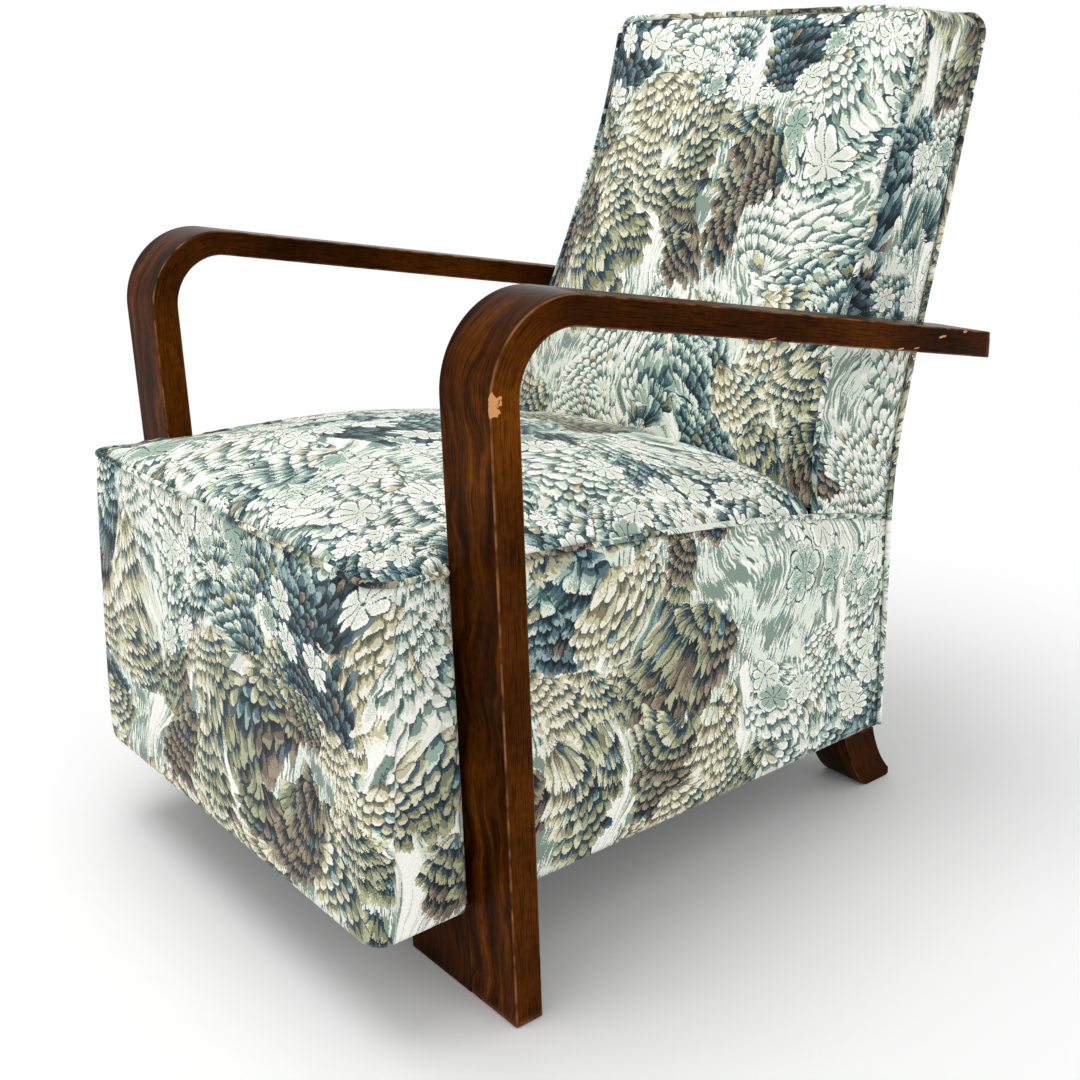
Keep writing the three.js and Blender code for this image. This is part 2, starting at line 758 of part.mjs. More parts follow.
// Plan of the seat top inside the piping, from the rear left corner round the front
function seatOutline(rearY, inset) {
  const steps = 4;
  const sides = sideStations(boxFrontHead + boxCornerRound, rearY).reverse();
  const right = sides.map((y) => [coverHalfAt(y, pipingRadius + inset) - inset * outsidePinch(y), y]);
  const radius = boxCornerRound - inset;
  const corner = [];
  for (let i = 1; i < steps; i++) {
    const turn = (Math.PI / 2) * (i / steps);
    const x = boxHalfAt(boxFrontHead) - boxCornerRound + radius * Math.cos(turn);
    corner.push([x, boxFrontHead + boxCornerRound - radius * Math.sin(turn)]);
  }
  const front = evenly(8, boxHalfAt(boxFrontHead) - boxCornerRound, 0).map((x) => [x, boxFrontHead + inset]);
  const half = [...right, ...corner, ...front];
  const other = half.slice(0, -1).reverse().map(([x, y]) => [-x, y]);
  return [...half, ...other];
}

function seatCushion() {
  const rearY = seamFootY - pipingInset;
  const outline = seatOutline(rearY, pipingInset);
  const acrossRear = evenly(8, -outline[0][0], outline[0][0]).slice(1, -1).map((x) => [x, rearY]);
  const middle = [0, (boxFrontHead + rearY) / 2];
  const crown = (x, y) => {
    const [acrossShare, backShare] = [x / boxHalfAt(y), share(y, boxFrontHead, rearY)];
    const front = Math.sqrt(1 - (1 - clamp(backShare, 0, 1)) ** (2 * crownPower));
    return seatCrown * Math.sqrt(Math.max(1 - Math.abs(acrossShare) ** crownPower, 0)) * front;
  };
  const lip = cushion(
    [...outline, ...acrossRear],
    middle,
    9,
    (x, y) => point(x, y, sideTopAt(y) + crown(x, y)),
    (x, y) => point(x, y, seatTopZ(y)),
  );
  const half = (y) => woodHalfAt(y);
  const under = board(
    [(y) => -half(y), half],
    [(z) => frontAt(z) + frontPad + touch, rearY],
    [(y) => seatBaseAt(y) + hessianThick + touch, (y) => sideTopAt(y)],
  );
  return cut(join(lip, under), backCushion(touch));
}

// Half outline of the back's front face, up the right side and over the rounded corner
function backOutline(footZ, inset) {
  const steps = 5;
  const radius = backCornerRound - inset;
  const edgeX = (z) => backHalfAt(seamAt(z), z) - inset;
  const side = evenly(14, footZ, backCornerFoot).map((z) => [edgeX(z), z]);
  const corner = evenly(steps, 0, Math.PI / 2).slice(1).map((turn) => {
    return [edgeX(backCornerFoot) - radius + radius * Math.cos(turn), backCornerFoot + radius * Math.sin(turn)];
  });
  return [...side, ...corner];
}

function backCushion(grow = 0) {
  const footZ = seamFootZ + pipingInset + touch;
  const half = backOutline(footZ - grow, pipingInset - grow);
  const top = half[half.length - 1];
  const acrossTop = evenly(6, top[0], -top[0]).slice(1, -1).map((x) => [x, top[1]]);
  const other = half.slice().reverse().map(([x, z]) => [-x, z]);
  const acrossFoot = evenly(8, -half[0][0], half[0][0]).slice(1, -1).map((x) => [x, half[0][1]]);
  const lip = cushion(
    [...half, ...acrossTop, ...other, ...acrossFoot],
    [0, (footZ + backTop) / 2],
    8,
    (x, z, s) => point(x, seamAt(z) - backCrown * Math.sqrt(Math.max(1 - s ** crownPower, 0)) - grow, z),
    (x, z) => point(x, seamAt(z) + pipingRadius + touch, z),
  );
  const under = (from, to) => board(
    [(y, z) => -stileOuterAt(z) - grow, (y, z) => stileOuterAt(z) + grow],
    [(z) => seamAt(z) - grow, (z) => stileFrontAt(z) - strapThick - 2 * touch],
    [from, to],
  );
  const underFoot = (y) => seatBaseAt(y) + hessianThick + 2 * touch - 2 * grow;
  const levels = evenly(4, sideTopRear, backCornerFoot).filter((z) => z > underFoot(seamFootY) + overrun);
  const blocks = levels.map((z, i) => under(i ? levels[i - 1] : underFoot, z));
  return join(lip, ...blocks);
}

function backBoxing() {
  const headAt = (y) => backCornerFoot - topDropAt(y) - touch;
  const front = (z) => seamAt(z) + pipingInset + 2 * touch;
  const inside = (y, z) => stileOuterAt(z) + 2 * touch;
  const rings = evenly(14).map((v) => {
    const level = (y) => lerp(sideTopAt(y) + pipingInset, headAt(y), v);
    const corner = (depthAt, xAt) => {
      let y = depthAt(level(seamFootY));
      y = depthAt(level(y));
      return point(xAt(y, level(y)), y, level(y));
    };
    const [outerEdge, rear] = [backHalfAt, stileBackAt];
    return [corner(front, inside), corner(front, outerEdge), corner(rear, outerEdge), corner(rear, inside)];
  });
  return cut(loft(rings), armHole);
}

// Path over the top of the back in (x, z), with the way out of the cover at each place
function overTop(steps) {
  const right = evenly(steps, 0, Math.PI / 2).map((turn) => {
    const out = new THREE.Vector2(Math.cos(turn), Math.sin(turn));
    const middle = new THREE.Vector2(backHalfTop - backCornerRound, backCornerFoot);
    return { at: middle.addScaledVector(out, backCornerRound), out };
  });
  const left = right.slice().reverse().map(({ at, out }) => {
    return { at: new THREE.Vector2(-at.x, at.y), out: new THREE.Vector2(-out.x, out.y) };
  });
  return [...right, ...left];
}

function topBoxing() {
  const rings = overTop(6).map(({ at, out }) => {
    const corner = (depthAt, inset) => {
      const place = at.clone().addScaledVector(out, -inset);
      const z = place.y - topDropAt(depthAt(place.y));
      return point(place.x, depthAt(z), z);
    };
    const [front, rear] = [() => seamAt(backTop) + pipingInset + touch, stileBackAt];
    return [corner(front, topPad), corner(front, 0), corner(rear, 0), corner(rear, topPad)];
  });
  return loft(rings);
}

function outsideBack() {
  const cornerZ = backCornerFoot - backTopDrop;
  const radius = backCornerRound - pipingInset;
  const rounds = evenly(4, 0, Math.PI / 2).slice(1);
  const rows = [
    ...evenly(3, bottomAt(boxRear) + touch, sideTopRear),
    ...evenly(7, sideTopRear, cornerZ).slice(1),
    ...rounds.map((turn) => cornerZ + radius * Math.sin(turn)),
  ];
  const halfAt = (z) => {
    const over = clamp((z - cornerZ) / radius, 0, 1);
    const straight = z < sideTopRear ? boxHalfAt(boxRear) : backHalfAt(outsideAt(z), z);
    return straight - pipingInset - radius * (1 - Math.sqrt(1 - over ** 2));
  };
  const columns = evenly(6, -1, 1);
  const inner = (u, z) => point(u * halfAt(z), stileBackAt(z) + touch, z);
  const outer = (u, z) => point(u * halfAt(z), outsideAt(z), z);
  return panel(columns, rows, inner, outer);
}

// Welts

function seatPiping() {
  const rearY = stileBackAt(boxBottomRear) - overrun;
  const stations = seatOutline(rearY, 0).map(([x, y]) => point(x, y, sideTopAt(y)));
  return piping(stations);
}

function backPiping() {
  const side = backOutline(sideTopAt(seamFootY) + 2 * pipingInset, 0);
  const over = [...side, ...side.slice().reverse().map(([x, z]) => [-x, z])];
  return piping(over.map(([x, z]) => point(x, seamAt(z), z)));
}

function outsidePiping() {
  const [footZ, cornerZ] = [bottomAt(boxRear), backCornerFoot - backTopDrop];
  const straight = [...evenly(3, footZ, sideTopRear), ...evenly(9, sideTopRear, cornerZ).slice(1)];
  const halfAt = (z) => (z < sideTopRear ? boxHalfAt(boxRear) : backHalfAt(outsideAt(z), z));
  const right = straight.map((z) => point(halfAt(z), outsideAt(z), z));
  const corner = evenly(5, 0, Math.PI / 2).slice(1).map((turn) => {
    const z = cornerZ + backCornerRound * Math.sin(turn);
    return point(halfAt(cornerZ) - backCornerRound * (1 - Math.cos(turn)), outsideAt(z), z);
  });
  const half = [...right, ...corner];
  return piping([...half, ...half.slice().reverse().map(({ x, y, z }) => point(-x, y, z))]);
}

function dustCover() {
  const half = (y) => woodHalfAt(y);
  const sheet = board(
    [(y) => -half(y), half],
    [(z) => frontAt(z) + frontPad + touch, (z) => stileBackAt(z)],
    [bottomAt, (y) => bottomAt(y) + dustCoverThick],
  );
  return cut(sheet, blockHole, dowelHole, mirrored(blockHole), mirrored(dowelHole));
}

function addUpholstery() {
  add("seat_cushion", seatCushion(), "cover");
  add("back_cushion", backCushion(), "cover");
  add("front_panel", frontPanel(), "cover");
  addPair("side_panel", sidePanel(), "cover");
  addPair("back_boxing", backBoxing(), "cover");
  add("back_boxing_top", topBoxing(), "cover");
  add("outside_back", outsideBack(), "cover");
  add("seat_piping", seatPiping(), "piping");
  add("back_piping", backPiping(), "piping");
  add("outside_piping", outsidePiping(), "piping");
  add("dust_cover", dustCover(), "cambric");
}

// Arms, feet and what fixes them

function armSpacer() {
  const from = backHalfAt(armScrewY - spacerRadius, armScrewZ - spacerRadius) + touch;
  const at = point(from, armScrewY, armScrewZ);
  const length = armInner - touch - from;
  const profile = [[0, 0], [spacerRadius, 0], [spacerRadius, length], [0, length]];
  return cut(turned(profile, at, outward, 2 * screwSides), armHole);
}

function addArmsAndFeet() {
  addPair("arm", armBoard(), "walnut");
  addPair("foot_block", footBlock(), "walnut");
  addPair("rear_foot", rearFoot(), "walnut");
  addPair("arm_spacer", armSpacer(), "beech");
  addPair("leg_screw_lower", screw(lowerScrewAt, outward, legScrewLength), "steel");
  addPair("leg_screw_upper", screw(upperScrewAt, outward, legScrewLength), "steel");
  addPair("arm_screw", screw(armScrewAt, outward, armScrewLength), "steel");
  addPair("foot_block_screw", screw(blockScrewAt, downward, blockScrewLength), "steel");
  addPair("rear_foot_dowel", bore(dowelAt, downward, dowelRadius, 0, dowelLength), "beech");
}

addArmsAndFeet();
addFrame();
addSuspension();
addUpholstery();

// The origin is on the floor, under the middle of the chair.
const bounds = new THREE.Box3().setFromObject(chair);
const middle = bounds.getCenter(point(0, 0, 0));
chair.position.set(-middle.x, -middle.y, -bounds.min.z);
chair.updateMatrixWorld(true);

export default chair;
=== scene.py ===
import json
import math
from functools import partial, reduce
import bpy
import numpy as np
from mathutils import Matrix, Vector


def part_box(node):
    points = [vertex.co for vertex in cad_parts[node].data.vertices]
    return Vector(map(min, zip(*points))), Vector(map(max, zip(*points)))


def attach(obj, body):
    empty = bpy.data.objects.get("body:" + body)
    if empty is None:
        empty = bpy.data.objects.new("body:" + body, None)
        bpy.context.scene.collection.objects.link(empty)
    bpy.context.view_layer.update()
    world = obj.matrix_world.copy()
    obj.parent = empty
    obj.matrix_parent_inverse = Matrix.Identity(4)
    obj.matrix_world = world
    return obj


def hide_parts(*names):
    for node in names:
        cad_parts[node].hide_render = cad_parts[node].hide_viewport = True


# Metres, +Z up, -Y to the front, +X to the sitter's left.
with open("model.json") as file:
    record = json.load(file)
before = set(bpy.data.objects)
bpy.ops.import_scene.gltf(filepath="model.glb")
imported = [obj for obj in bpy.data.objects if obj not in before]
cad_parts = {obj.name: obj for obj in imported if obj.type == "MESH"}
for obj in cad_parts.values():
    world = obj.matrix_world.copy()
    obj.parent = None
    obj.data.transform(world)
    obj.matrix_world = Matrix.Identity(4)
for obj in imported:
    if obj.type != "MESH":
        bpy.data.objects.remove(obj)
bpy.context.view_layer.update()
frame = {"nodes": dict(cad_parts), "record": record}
scene = bpy.context.scene
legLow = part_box("arm_left")[0]
legFront = legLow.y  # the upholstery is measured from the front legs' front face, as a chair maker would
armInner = legLow.x
print("frame loaded:", len(frame["nodes"]), "nodes")


# Colour

def toLinear(code):
    # sRGB hex to linear: below 0.04045 a straight line, above it a 2.4 power
    parts = [int(code[i:i + 2], 16) / 255 for i in (1, 3, 5)]
    return tuple(p / 12.92 if p <= 0.04045 else ((p + 0.055) / 1.055) ** 2.4 for p in parts) + (1.0,)


# Nodes

def feed(tree, node, inputs):
    # inputs stand in the node's order in a list, by name or number in a dictionary. Each takes a value, a
    # node (its first output) or a node with the name of an output
    for name, value in inputs.items() if isinstance(inputs, dict) else enumerate(inputs):
        if isinstance(value, bpy.types.Node):
            value = (value, 0)
        if isinstance(value, tuple) and isinstance(value[0], bpy.types.Node):
            tree.links.new(value[0].outputs[value[1]], node.inputs[name])
        else:
            node.inputs[name].default_value = value


def addNode(tree, kind, inputs=(), **settings):
    # kind is the node's type, with its operation after a space; an operation alone is that of a Math node
    kind, _, operation = kind.partition(" ") if not kind.isupper() else ("Math", "", kind)
    node = tree.nodes.new("ShaderNode" + kind)
    if operation:
        node.operation = operation
    for name, value in settings.items():
        setattr(node, name, value)
    feed(tree, node, inputs)
    return node


def newMaterial(name):
    # the material, a function that adds a node to it and one that sets the shader's inputs
    material = bpy.data.materials.new(name)
    material.use_nodes = True
    tree = material.node_tree
    return material, partial(addNode, tree), partial(feed, tree, tree.nodes["Principled BSDF"])


def setStops(node, stops, steps=False):
    ramp = node.color_ramp
    ramp.interpolation = "CONSTANT" if steps else "LINEAR"
    while len(ramp.elements) < len(stops):
        ramp.elements.new(0.5)
    for element, (place, code) in zip(ramp.elements, stops):
        element.position = place
        element.color = toLinear(code)


def crossedThreads(node, where, pitch):
    # relief of a plain weave: sin(2 pi x / pitch) * sin(2 pi y / pitch)
    scaled = node("VectorMath SCALE", {0: where, "Scale": 2 * math.pi / pitch})
    parts = node("SeparateXYZ", [scaled])
    warp, weft = (node("SINE", [(parts, way)]) for way in "XY")
    return node("MULTIPLY", [warp, weft])


flatNoise = {"noise_dimensions": "2D"}
flatCells = {"voronoi_dimensions": "2D"}
halfway = (0.5, 0.5, 0.5)

# Verdure jacquard: a woven wool and cotton cloth. Every motif is made of flat tones whose edges step by
# whole threads. Leaves hang in short curved tiers, pale at the rim, over a darker ground.
verdure = {
    "thread": 0.0011,       # drawn as coarse as it needs to show: the real cloth has 20 threads to the cm
    "grain": 0.14,          # how far single threads stray from their tone
    "crown": 0.245,         # spacing of tree crowns and bushes
    "crownWarp": 0.085,
    "leafWarp": 0.0045,
    "stroke": (420.0, 40.0, 1.0),
    "tier": 0.0158,         # height of a tier of leaves
    "leaf": 0.0100,         # width of a leaf
    "tufts": [0.076, 0.088, 0.098, 0.082],   # spacing of the leaf tufts in each layer, the last on top
    "leafScale": [0.85, 1.0, 1.15, 0.95],     # how large each layer's leaves are
    "tuftOval": 0.52,       # half width of a tuft's outline, in tuft widths
    "crownOval": 0.70,      # the same for a crown
    "lobes": 0.26,          # depth of the lobes at a leaf's tip, in tiers
    "bow": -1.5,            # how far the flanks of a leaf's end lie behind its tip
    "khakiShare": 0.50,     # share of the crowns that are khaki, the others are cool
    "strays": 0.91,         # leaves whose chance is above this take the other colour
    "blossom": 0.050,       # spacing of the pale star-shaped blossoms
    "blossomPetals": 8,
    "tones": {              # rim, body, gap and deepest gap of each zone of a plant
        "sunlit khaki": ["#f4f1df", "#cdc8a8", "#878166", "#505b54"],
        "khaki": ["#dcdcc0", "#a8a585", "#4e646a", "#293b43"],
        "shaded khaki": ["#b4b594", "#828567", "#344b53", "#1f3037"],
        "taupe": ["#9d927c", "#726658", "#2c373b", "#181f22"],
        "pale": ["#fdfcf4", "#dee3d6", "#84988c", "#4a6463"],
        "mint": ["#e6ede0", "#a0b6a8", "#4c6a6d", "#2a4248"],
        "slate": ["#9fb5b0", "#557479", "#283d45", "#172227"],
        "night": ["#6b8083", "#354b53", "#1c282d", "#12181b"],
    },
}


def makeVerdure():
    plan = verdure
    group = bpy.data.node_groups.new("verdure weave", "ShaderNodeTree")
    group.interface.new_socket("Cloth", in_out="INPUT", socket_type="NodeSocketVector")
    group.interface.new_socket("Color", in_out="OUTPUT", socket_type="NodeSocketColor")
    start = group.nodes.new("NodeGroupInput")
    end = group.nodes.new("NodeGroupOutput")
    kinds = list(plan["tones"])
    coolFrom = 4.0  # number of the first cool zone
    node = partial(addNode, group)

    threads = node("VectorMath SNAP", [start, (plan["thread"],) * 3])

    def warped(where, scale, reach):
        # a place moved by smooth noise, by up to half of reach each way
        noise = node("TexNoise", {"Vector": threads, "Scale": scale, "Detail": 0.0}, **flatNoise)
        off = node("VectorMath SUBTRACT", [(noise, "Color"), halfway])
        return node("VectorMath MULTIPLY_ADD", [off, (reach,) * 3, where])

    place = warped(warped(threads, 7.0, plan["crownWarp"]), 70.0, plan["leafWarp"])
    grains = node("TexWhiteNoise", {"Vector": threads}, **flatNoise)
    grain = node("MapRange", [grains, 0.0, 1.0, -plan["grain"], plan["grain"]])

    def crownAt(where):
        # the crown that a place belongs to, and the way from its middle in crown widths
        scaled = node("VectorMath SCALE", {0: where, "Scale": 1 / plan["crown"]})
        cells = node("TexVoronoi", {"Vector": scaled, "Scale": 1.0, "Randomness": 0.85}, **flatCells)
        return cells, node("VectorMath SUBTRACT", [scaled, (cells, "Position")])

    def cellsAt(size, shift, randomness):
        # the tuft or blossom that a place belongs to: the way from its middle in its own widths, its random
        # numbers, and those of its crown with the way from the crown's middle
        scaled = node("VectorMath MULTIPLY_ADD", [place, (1 / size,) * 3, shift])
        cells = node("TexVoronoi", {"Vector": scaled, "Scale": 1.0, "Randomness": randomness}, **flatCells)
        local = node("VectorMath SUBTRACT", [scaled, (cells, "Position")])
        home = node("VectorMath SUBTRACT", [(cells, "Position"), shift])
        crown, away = crownAt(node("VectorMath SCALE", {0: home, "Scale": size}))
        luck, nature = (node("SeparateXYZ", [(each, "Color")]) for each in (cells, crown))
        return local, luck, nature, away

    def allOf(*tests):
        # 1 where every test gives 1, else 0
        return reduce(lambda a, b: node("MULTIPLY", [a, b]), tests)

    def laidOver(shown, below, above):
        # zone and tone of what is above where it is shown, else of what is below
        return [node("Mix", {"Factor": shown, "A": a, "B": b}) for a, b in zip(below, above)]

    # Sky and ground: short pale strokes over sage
    _, awayHere = crownAt(place)
    stroke = node("VectorMath MULTIPLY", [place, plan["stroke"]])
    strokes = node("TexNoise", {"Vector": stroke, "Scale": 1.0, "Detail": 1.0}, **flatNoise)
    patches = node("TexNoise", {"Vector": place, "Scale": 30.0, "Detail": 1.0}, **flatNoise)
    both = node("ADD", [strokes, patches])
    skyZone = node("ADD", [node("GREATER_THAN", [patches, 0.52]), coolFrom])
    look = [skyZone, node("MapRange", [both, 0.88, 1.14, 2.6, 0.1])]

    # Trunks: striped stems that fan out upwards into each crown
    split = node("SeparateXYZ", [awayHere])
    swing = node("SINE", [node("MULTIPLY", [(split, "Y"), 9.0])])
    bent = node("MULTIPLY_ADD", [swing, 0.045, (split, "X")])
    flare = node("MapRange", [(split, "Y"), -0.5, 0.2, 0.07, 0.26])
    ratio = node("DIVIDE", [bent, flare])
    onTrunk = node("LESS_THAN", [node("ABSOLUTE", [ratio]), 1.0])
    stripe = node("CombineXYZ", {"X": ratio, "Y": (split, "Y")})
    stripeWide = node("VectorMath MULTIPLY", [stripe, (4.6, 1.8, 1.0)])
    stripes = node("TexNoise", {"Vector": stripeWide, "Scale": 1.0, "Detail": 3.0}, **flatNoise)
    look = laidOver(onTrunk, look, [coolFrom, node("MapRange", [stripes, 0.34, 0.62, 3.0, -0.4])])

    def zoneOf(away, luck, nature, chance, offset, upright):
        # the zone of a leaf: sunlit at the upper left of its crown and of its tuft, dark at the lower right
        slope = node("VectorMath DOT_PRODUCT", [away, (3.2, -2.5, 0.0)])
        within = node("VectorMath DOT_PRODUCT", [offset, (2.3, -1.7, 0.0)])
        facing = node("MapRange", [upright, 0.0, 1.0, 1.0, -0.6])
        local = node("MULTIPLY_ADD", [(within, "Value"), facing, (slope, "Value")])
        tossed = node("MULTIPLY_ADD", [(luck, "X"), 0.45, local])
        jitter = node("MULTIPLY_ADD", [chance, 0.6, tossed])
        warm = node("LESS_THAN", [(nature, "X"), plan["khakiShare"]])
        stray = node("GREATER_THAN", [chance, plan["strays"]])
        khaki = node("COMPARE", [warm, stray, 0.5])
        light = node("MULTIPLY_ADD", [(nature, "Y"), 0.5, jitter])
        held = node("Clamp", [node("ADD", [light, 0.95]), 0.0, coolFrom - 0.1])
        step = node("FLOOR", [held])
        return node("Mix", {"Factor": khaki, "A": step, "B": node("ADD", [step, coolFrom])})

    def tuftLayer(i, size):
        # leaves hang in tiers round a point above the tuft, each tier over the next like shingles. The leaves
        # of row k end near radius (k + 1) tiers
        scale = plan["leafScale"][i] / size
        tier, leaf = plan["tier"] * scale, plan["leaf"] * scale
        hungFrom = 0.58
        local, luck, nature, away = cellsAt(size, (0.37 * i + 0.11, 0.61 * i + 0.23, 0.0), 0.5)
        spot = node("SeparateXYZ", [away])
        turn = node("SUBTRACT", [node("MULTIPLY_ADD", [(spot, "X"), 1.3, (luck, "Y")]), 0.5])
        # on some of the cool bushes the leaves stand upright instead of hanging
        bushy = node("GREATER_THAN", [(nature, "X"), plan["khakiShare"]])
        proud = node("GREATER_THAN", [(nature, "Y"), 0.45])
        upright = allOf(bushy, proud)
        headUp = node("MULTIPLY_ADD", [upright, math.pi, turn])
        turned = node("VectorRotate", {0: local, "Angle": headUp}, rotation_type="Z_AXIS")
        hung = node("VectorMath ADD", [turned, (0.0, -hungFrom, 0.0)])
        radius = node("VectorMath LENGTH", [hung])
        parts = node("SeparateXYZ", [hung])
        angle = node("ARCTAN2", [(parts, "X"), node("MULTIPLY", [(parts, "Y"), -1.0])])
        tiers = node("DIVIDE", [(radius, "Value"), tier])
        row = node("FLOOR", [tiers])
        along = node("SUBTRACT", [tiers, row])
        # the leaves of some tufts end in three lobes, like a small oak's
        lobing = node("MapRange", [(luck, "Y"), 0.30, 0.55, 0.03, plan["lobes"]])

        def leafAt(step):
            # leaf of the row `step` rows on: its row's middle, its number, the way aside from its middle, and
            # where it ends: 0.82 - 1.5 aside^2, with lobes |cos(3 pi aside)| and a little chance
            at = node("ADD", [row, float(step)])
            rowMid = node("ADD", [at, 0.5])
            spread = node("MULTIPLY", [rowMid, tier / leaf])
            stagger = node("MULTIPLY_ADD", [at, 0.53, (luck, "Z")])
            leaves = node("MULTIPLY_ADD", [angle, spread, stagger])
            number = node("FLOOR", [leaves])
            aside = node("SUBTRACT", [node("SUBTRACT", [leaves, number]), 0.5])
            uneven = node("SINE", [node("MULTIPLY_ADD", [number, 12.99, at])])
            square = node("MULTIPLY", [aside, aside])
            bow = node("MULTIPLY_ADD", [square, plan["bow"], 0.82])
            wave = node("COSINE", [node("MULTIPLY", [aside, 3 * math.pi])])
            lobes = node("ABSOLUTE", [wave])
            scalloped = node("MULTIPLY_ADD", [lobes, lobing, bow])
            edge = node("MULTIPLY_ADD", [uneven, 0.13, scalloped])
            return rowMid, stagger, number, aside, edge

        above, here, below = leafAt(-1), leafAt(0), leafAt(1)
        notch = node("GREATER_THAN", [along, here[4]])
        rowMid, stagger, number, aside, edge = laidOver(notch, here, below)
        beyond = node("ADD", [edge, notch])
        toTip = node("SUBTRACT", [beyond, along])
        upper = laidOver(notch, above[4:], here[4:])[0]
        fromUpper = node("SUBTRACT", [along, upper])
        clearOf = node("ADD", [fromUpper, node("MULTIPLY_ADD", [notch, -1.0, 1.0])])
        key = node("CombineXYZ", {"X": number, "Y": rowMid, "Z": (luck, "X")})
        chance = (node("TexWhiteNoise", {"Vector": key}, noise_dimensions="3D"), "Value")
        # silhouette: whole leaves, in an oval about the tuft's own point and inside the crown, off its stem
        fromMid = node("ADD", [node("SUBTRACT", [number, stagger]), 0.5])
        reach = node("MULTIPLY", [fromMid, leaf])
        drop = node("MULTIPLY_ADD", [rowMid, -tier, 0.62])
        offset = node("CombineXYZ", {"X": reach, "Y": drop})
        oval = node("VectorMath MULTIPLY", [offset, (1.0, 1.08, 1.0)])
        distance = node("VectorMath LENGTH", [oval])
        ragged = node("MULTIPLY_ADD", [chance, 0.12, (distance, "Value")])
        inTuft = node("LESS_THAN", [ragged, plan["tuftOval"]])
        crownWay = node("VectorMath LENGTH", [away])
        farther = node("MULTIPLY_ADD", [(luck, "Z"), 0.18, (crownWay, "Value")])
        inCrown = node("LESS_THAN", [farther, plan["crownOval"]])
        stem = node("MapRange", [(spot, "Y"), -0.45, 0.15, 0.15, -0.05])
        clear = node("GREATER_THAN", [node("ABSOLUTE", [(spot, "X")]), stem])
        shown = allOf(inCrown, clear, inTuft)
        # tone: a pale rim at the tip and on the lit side, the body, and dark gaps under the leaf above and
        # between neighbours
        shadow = node("MapRange", [clearOf, 0.0, 0.60, 3.5, 1.25])
        flank = node("MapRange", [node("ABSOLUTE", [aside]), 0.34, 0.5, 0.0, 1.7])
        lit = node("MULTIPLY_ADD", [aside, 0.5, toTip])
        rim = node("MapRange", [lit, 0.0, 0.34, -1.1, 0.0])
        rimmed = node("ADD", [node("ADD", [shadow, flank]), rim])
        tone = node("SUBTRACT", [node("MULTIPLY_ADD", [chance, 0.5, rimmed]), 0.35])
        return shown, [zoneOf(away, luck, nature, chance, offset, upright), tone]

    for i, size in enumerate(plan["tufts"]):
        shown, tuft = tuftLayer(i, size)
        look = laidOver(shown, look, tuft)

    # Blossoms: rosettes of pale petals on the cool bushes. Each petal has one share of the turn, and ends at
    # 0.22 + 0.22 sqrt(1 - 4 off^2), off being the way from its middle
    local, luck, nature, _ = cellsAt(plan["blossom"], (0.71, 0.29, 0.0), 0.6)
    parts = node("SeparateXYZ", [local])
    angle = node("ARCTAN2", [(parts, "X"), (parts, "Y")])
    radius = node("VectorMath LENGTH", [local])
    turns = node("MULTIPLY_ADD", [angle, plan["blossomPetals"] / (2 * math.pi), (luck, "Y")])
    off = node("SUBTRACT", [node("FRACT", [turns]), 0.5])
    square = node("MULTIPLY", [off, off])
    bowed = node("SQRT", [node("MULTIPLY_ADD", [square, -4.0, 1.0])])
    edge = node("MULTIPLY_ADD", [bowed, 0.22, 0.22])
    tip = node("SUBTRACT", [edge, (radius, "Value")])
    inside = node("GREATER_THAN", [tip, -0.03])
    petal = node("GREATER_THAN", [tip, 0.0])
    heart = node("GREATER_THAN", [(radius, "Value"), 0.035])
    flank = node("GREATER_THAN", [bowed, 0.5])
    bright = allOf(petal, heart, flank)
    rimmed = node("GREATER_THAN", [tip, 0.075])
    petalTone = node("MULTIPLY_ADD", [(luck, "Z"), 0.3, rimmed])
    blossomTone = node("Mix", {"Factor": bright, "A": 3.2, "B": petalTone})
    pale = node("GREATER_THAN", [(nature, "Z"), 0.58])
    some = node("GREATER_THAN", [(luck, "X"), 0.25])
    leafy = node("GREATER_THAN", [(nature, "X"), plan["khakiShare"]])
    shown = allOf(pale, leafy, some, inside)
    cool = node("GREATER_THAN", [(luck, "X"), 0.8])
    blossomZone = node("MapRange", [cool, 0.0, 1.0, coolFrom, coolFrom + 1])
    zone, tone = laidOver(shown, look, [blossomZone, blossomTone])

    # One ramp holds every zone's four tones side by side
    held = node("Clamp", [node("ADD", [tone, grain]), plan["grain"], 4 - plan["grain"]])
    quarter = node("MULTIPLY_ADD", [held, 0.25, zone])
    tones = node("ValToRGB", [node("DIVIDE", [quarter, len(kinds)])])
    codes = [code for name in kinds for code in plan["tones"][name]]
    setStops(tones, [(k / len(codes), code) for k, code in enumerate(codes)], steps=True)
    feed(group, end, {"Color": tones})
    return group


verdureGroup = makeVerdure()
coverLook = {"rough": 0.9, "sheen": 0.12, "weaveDepth": 0.00045, "pitch": 1.6 * verdure["thread"]}


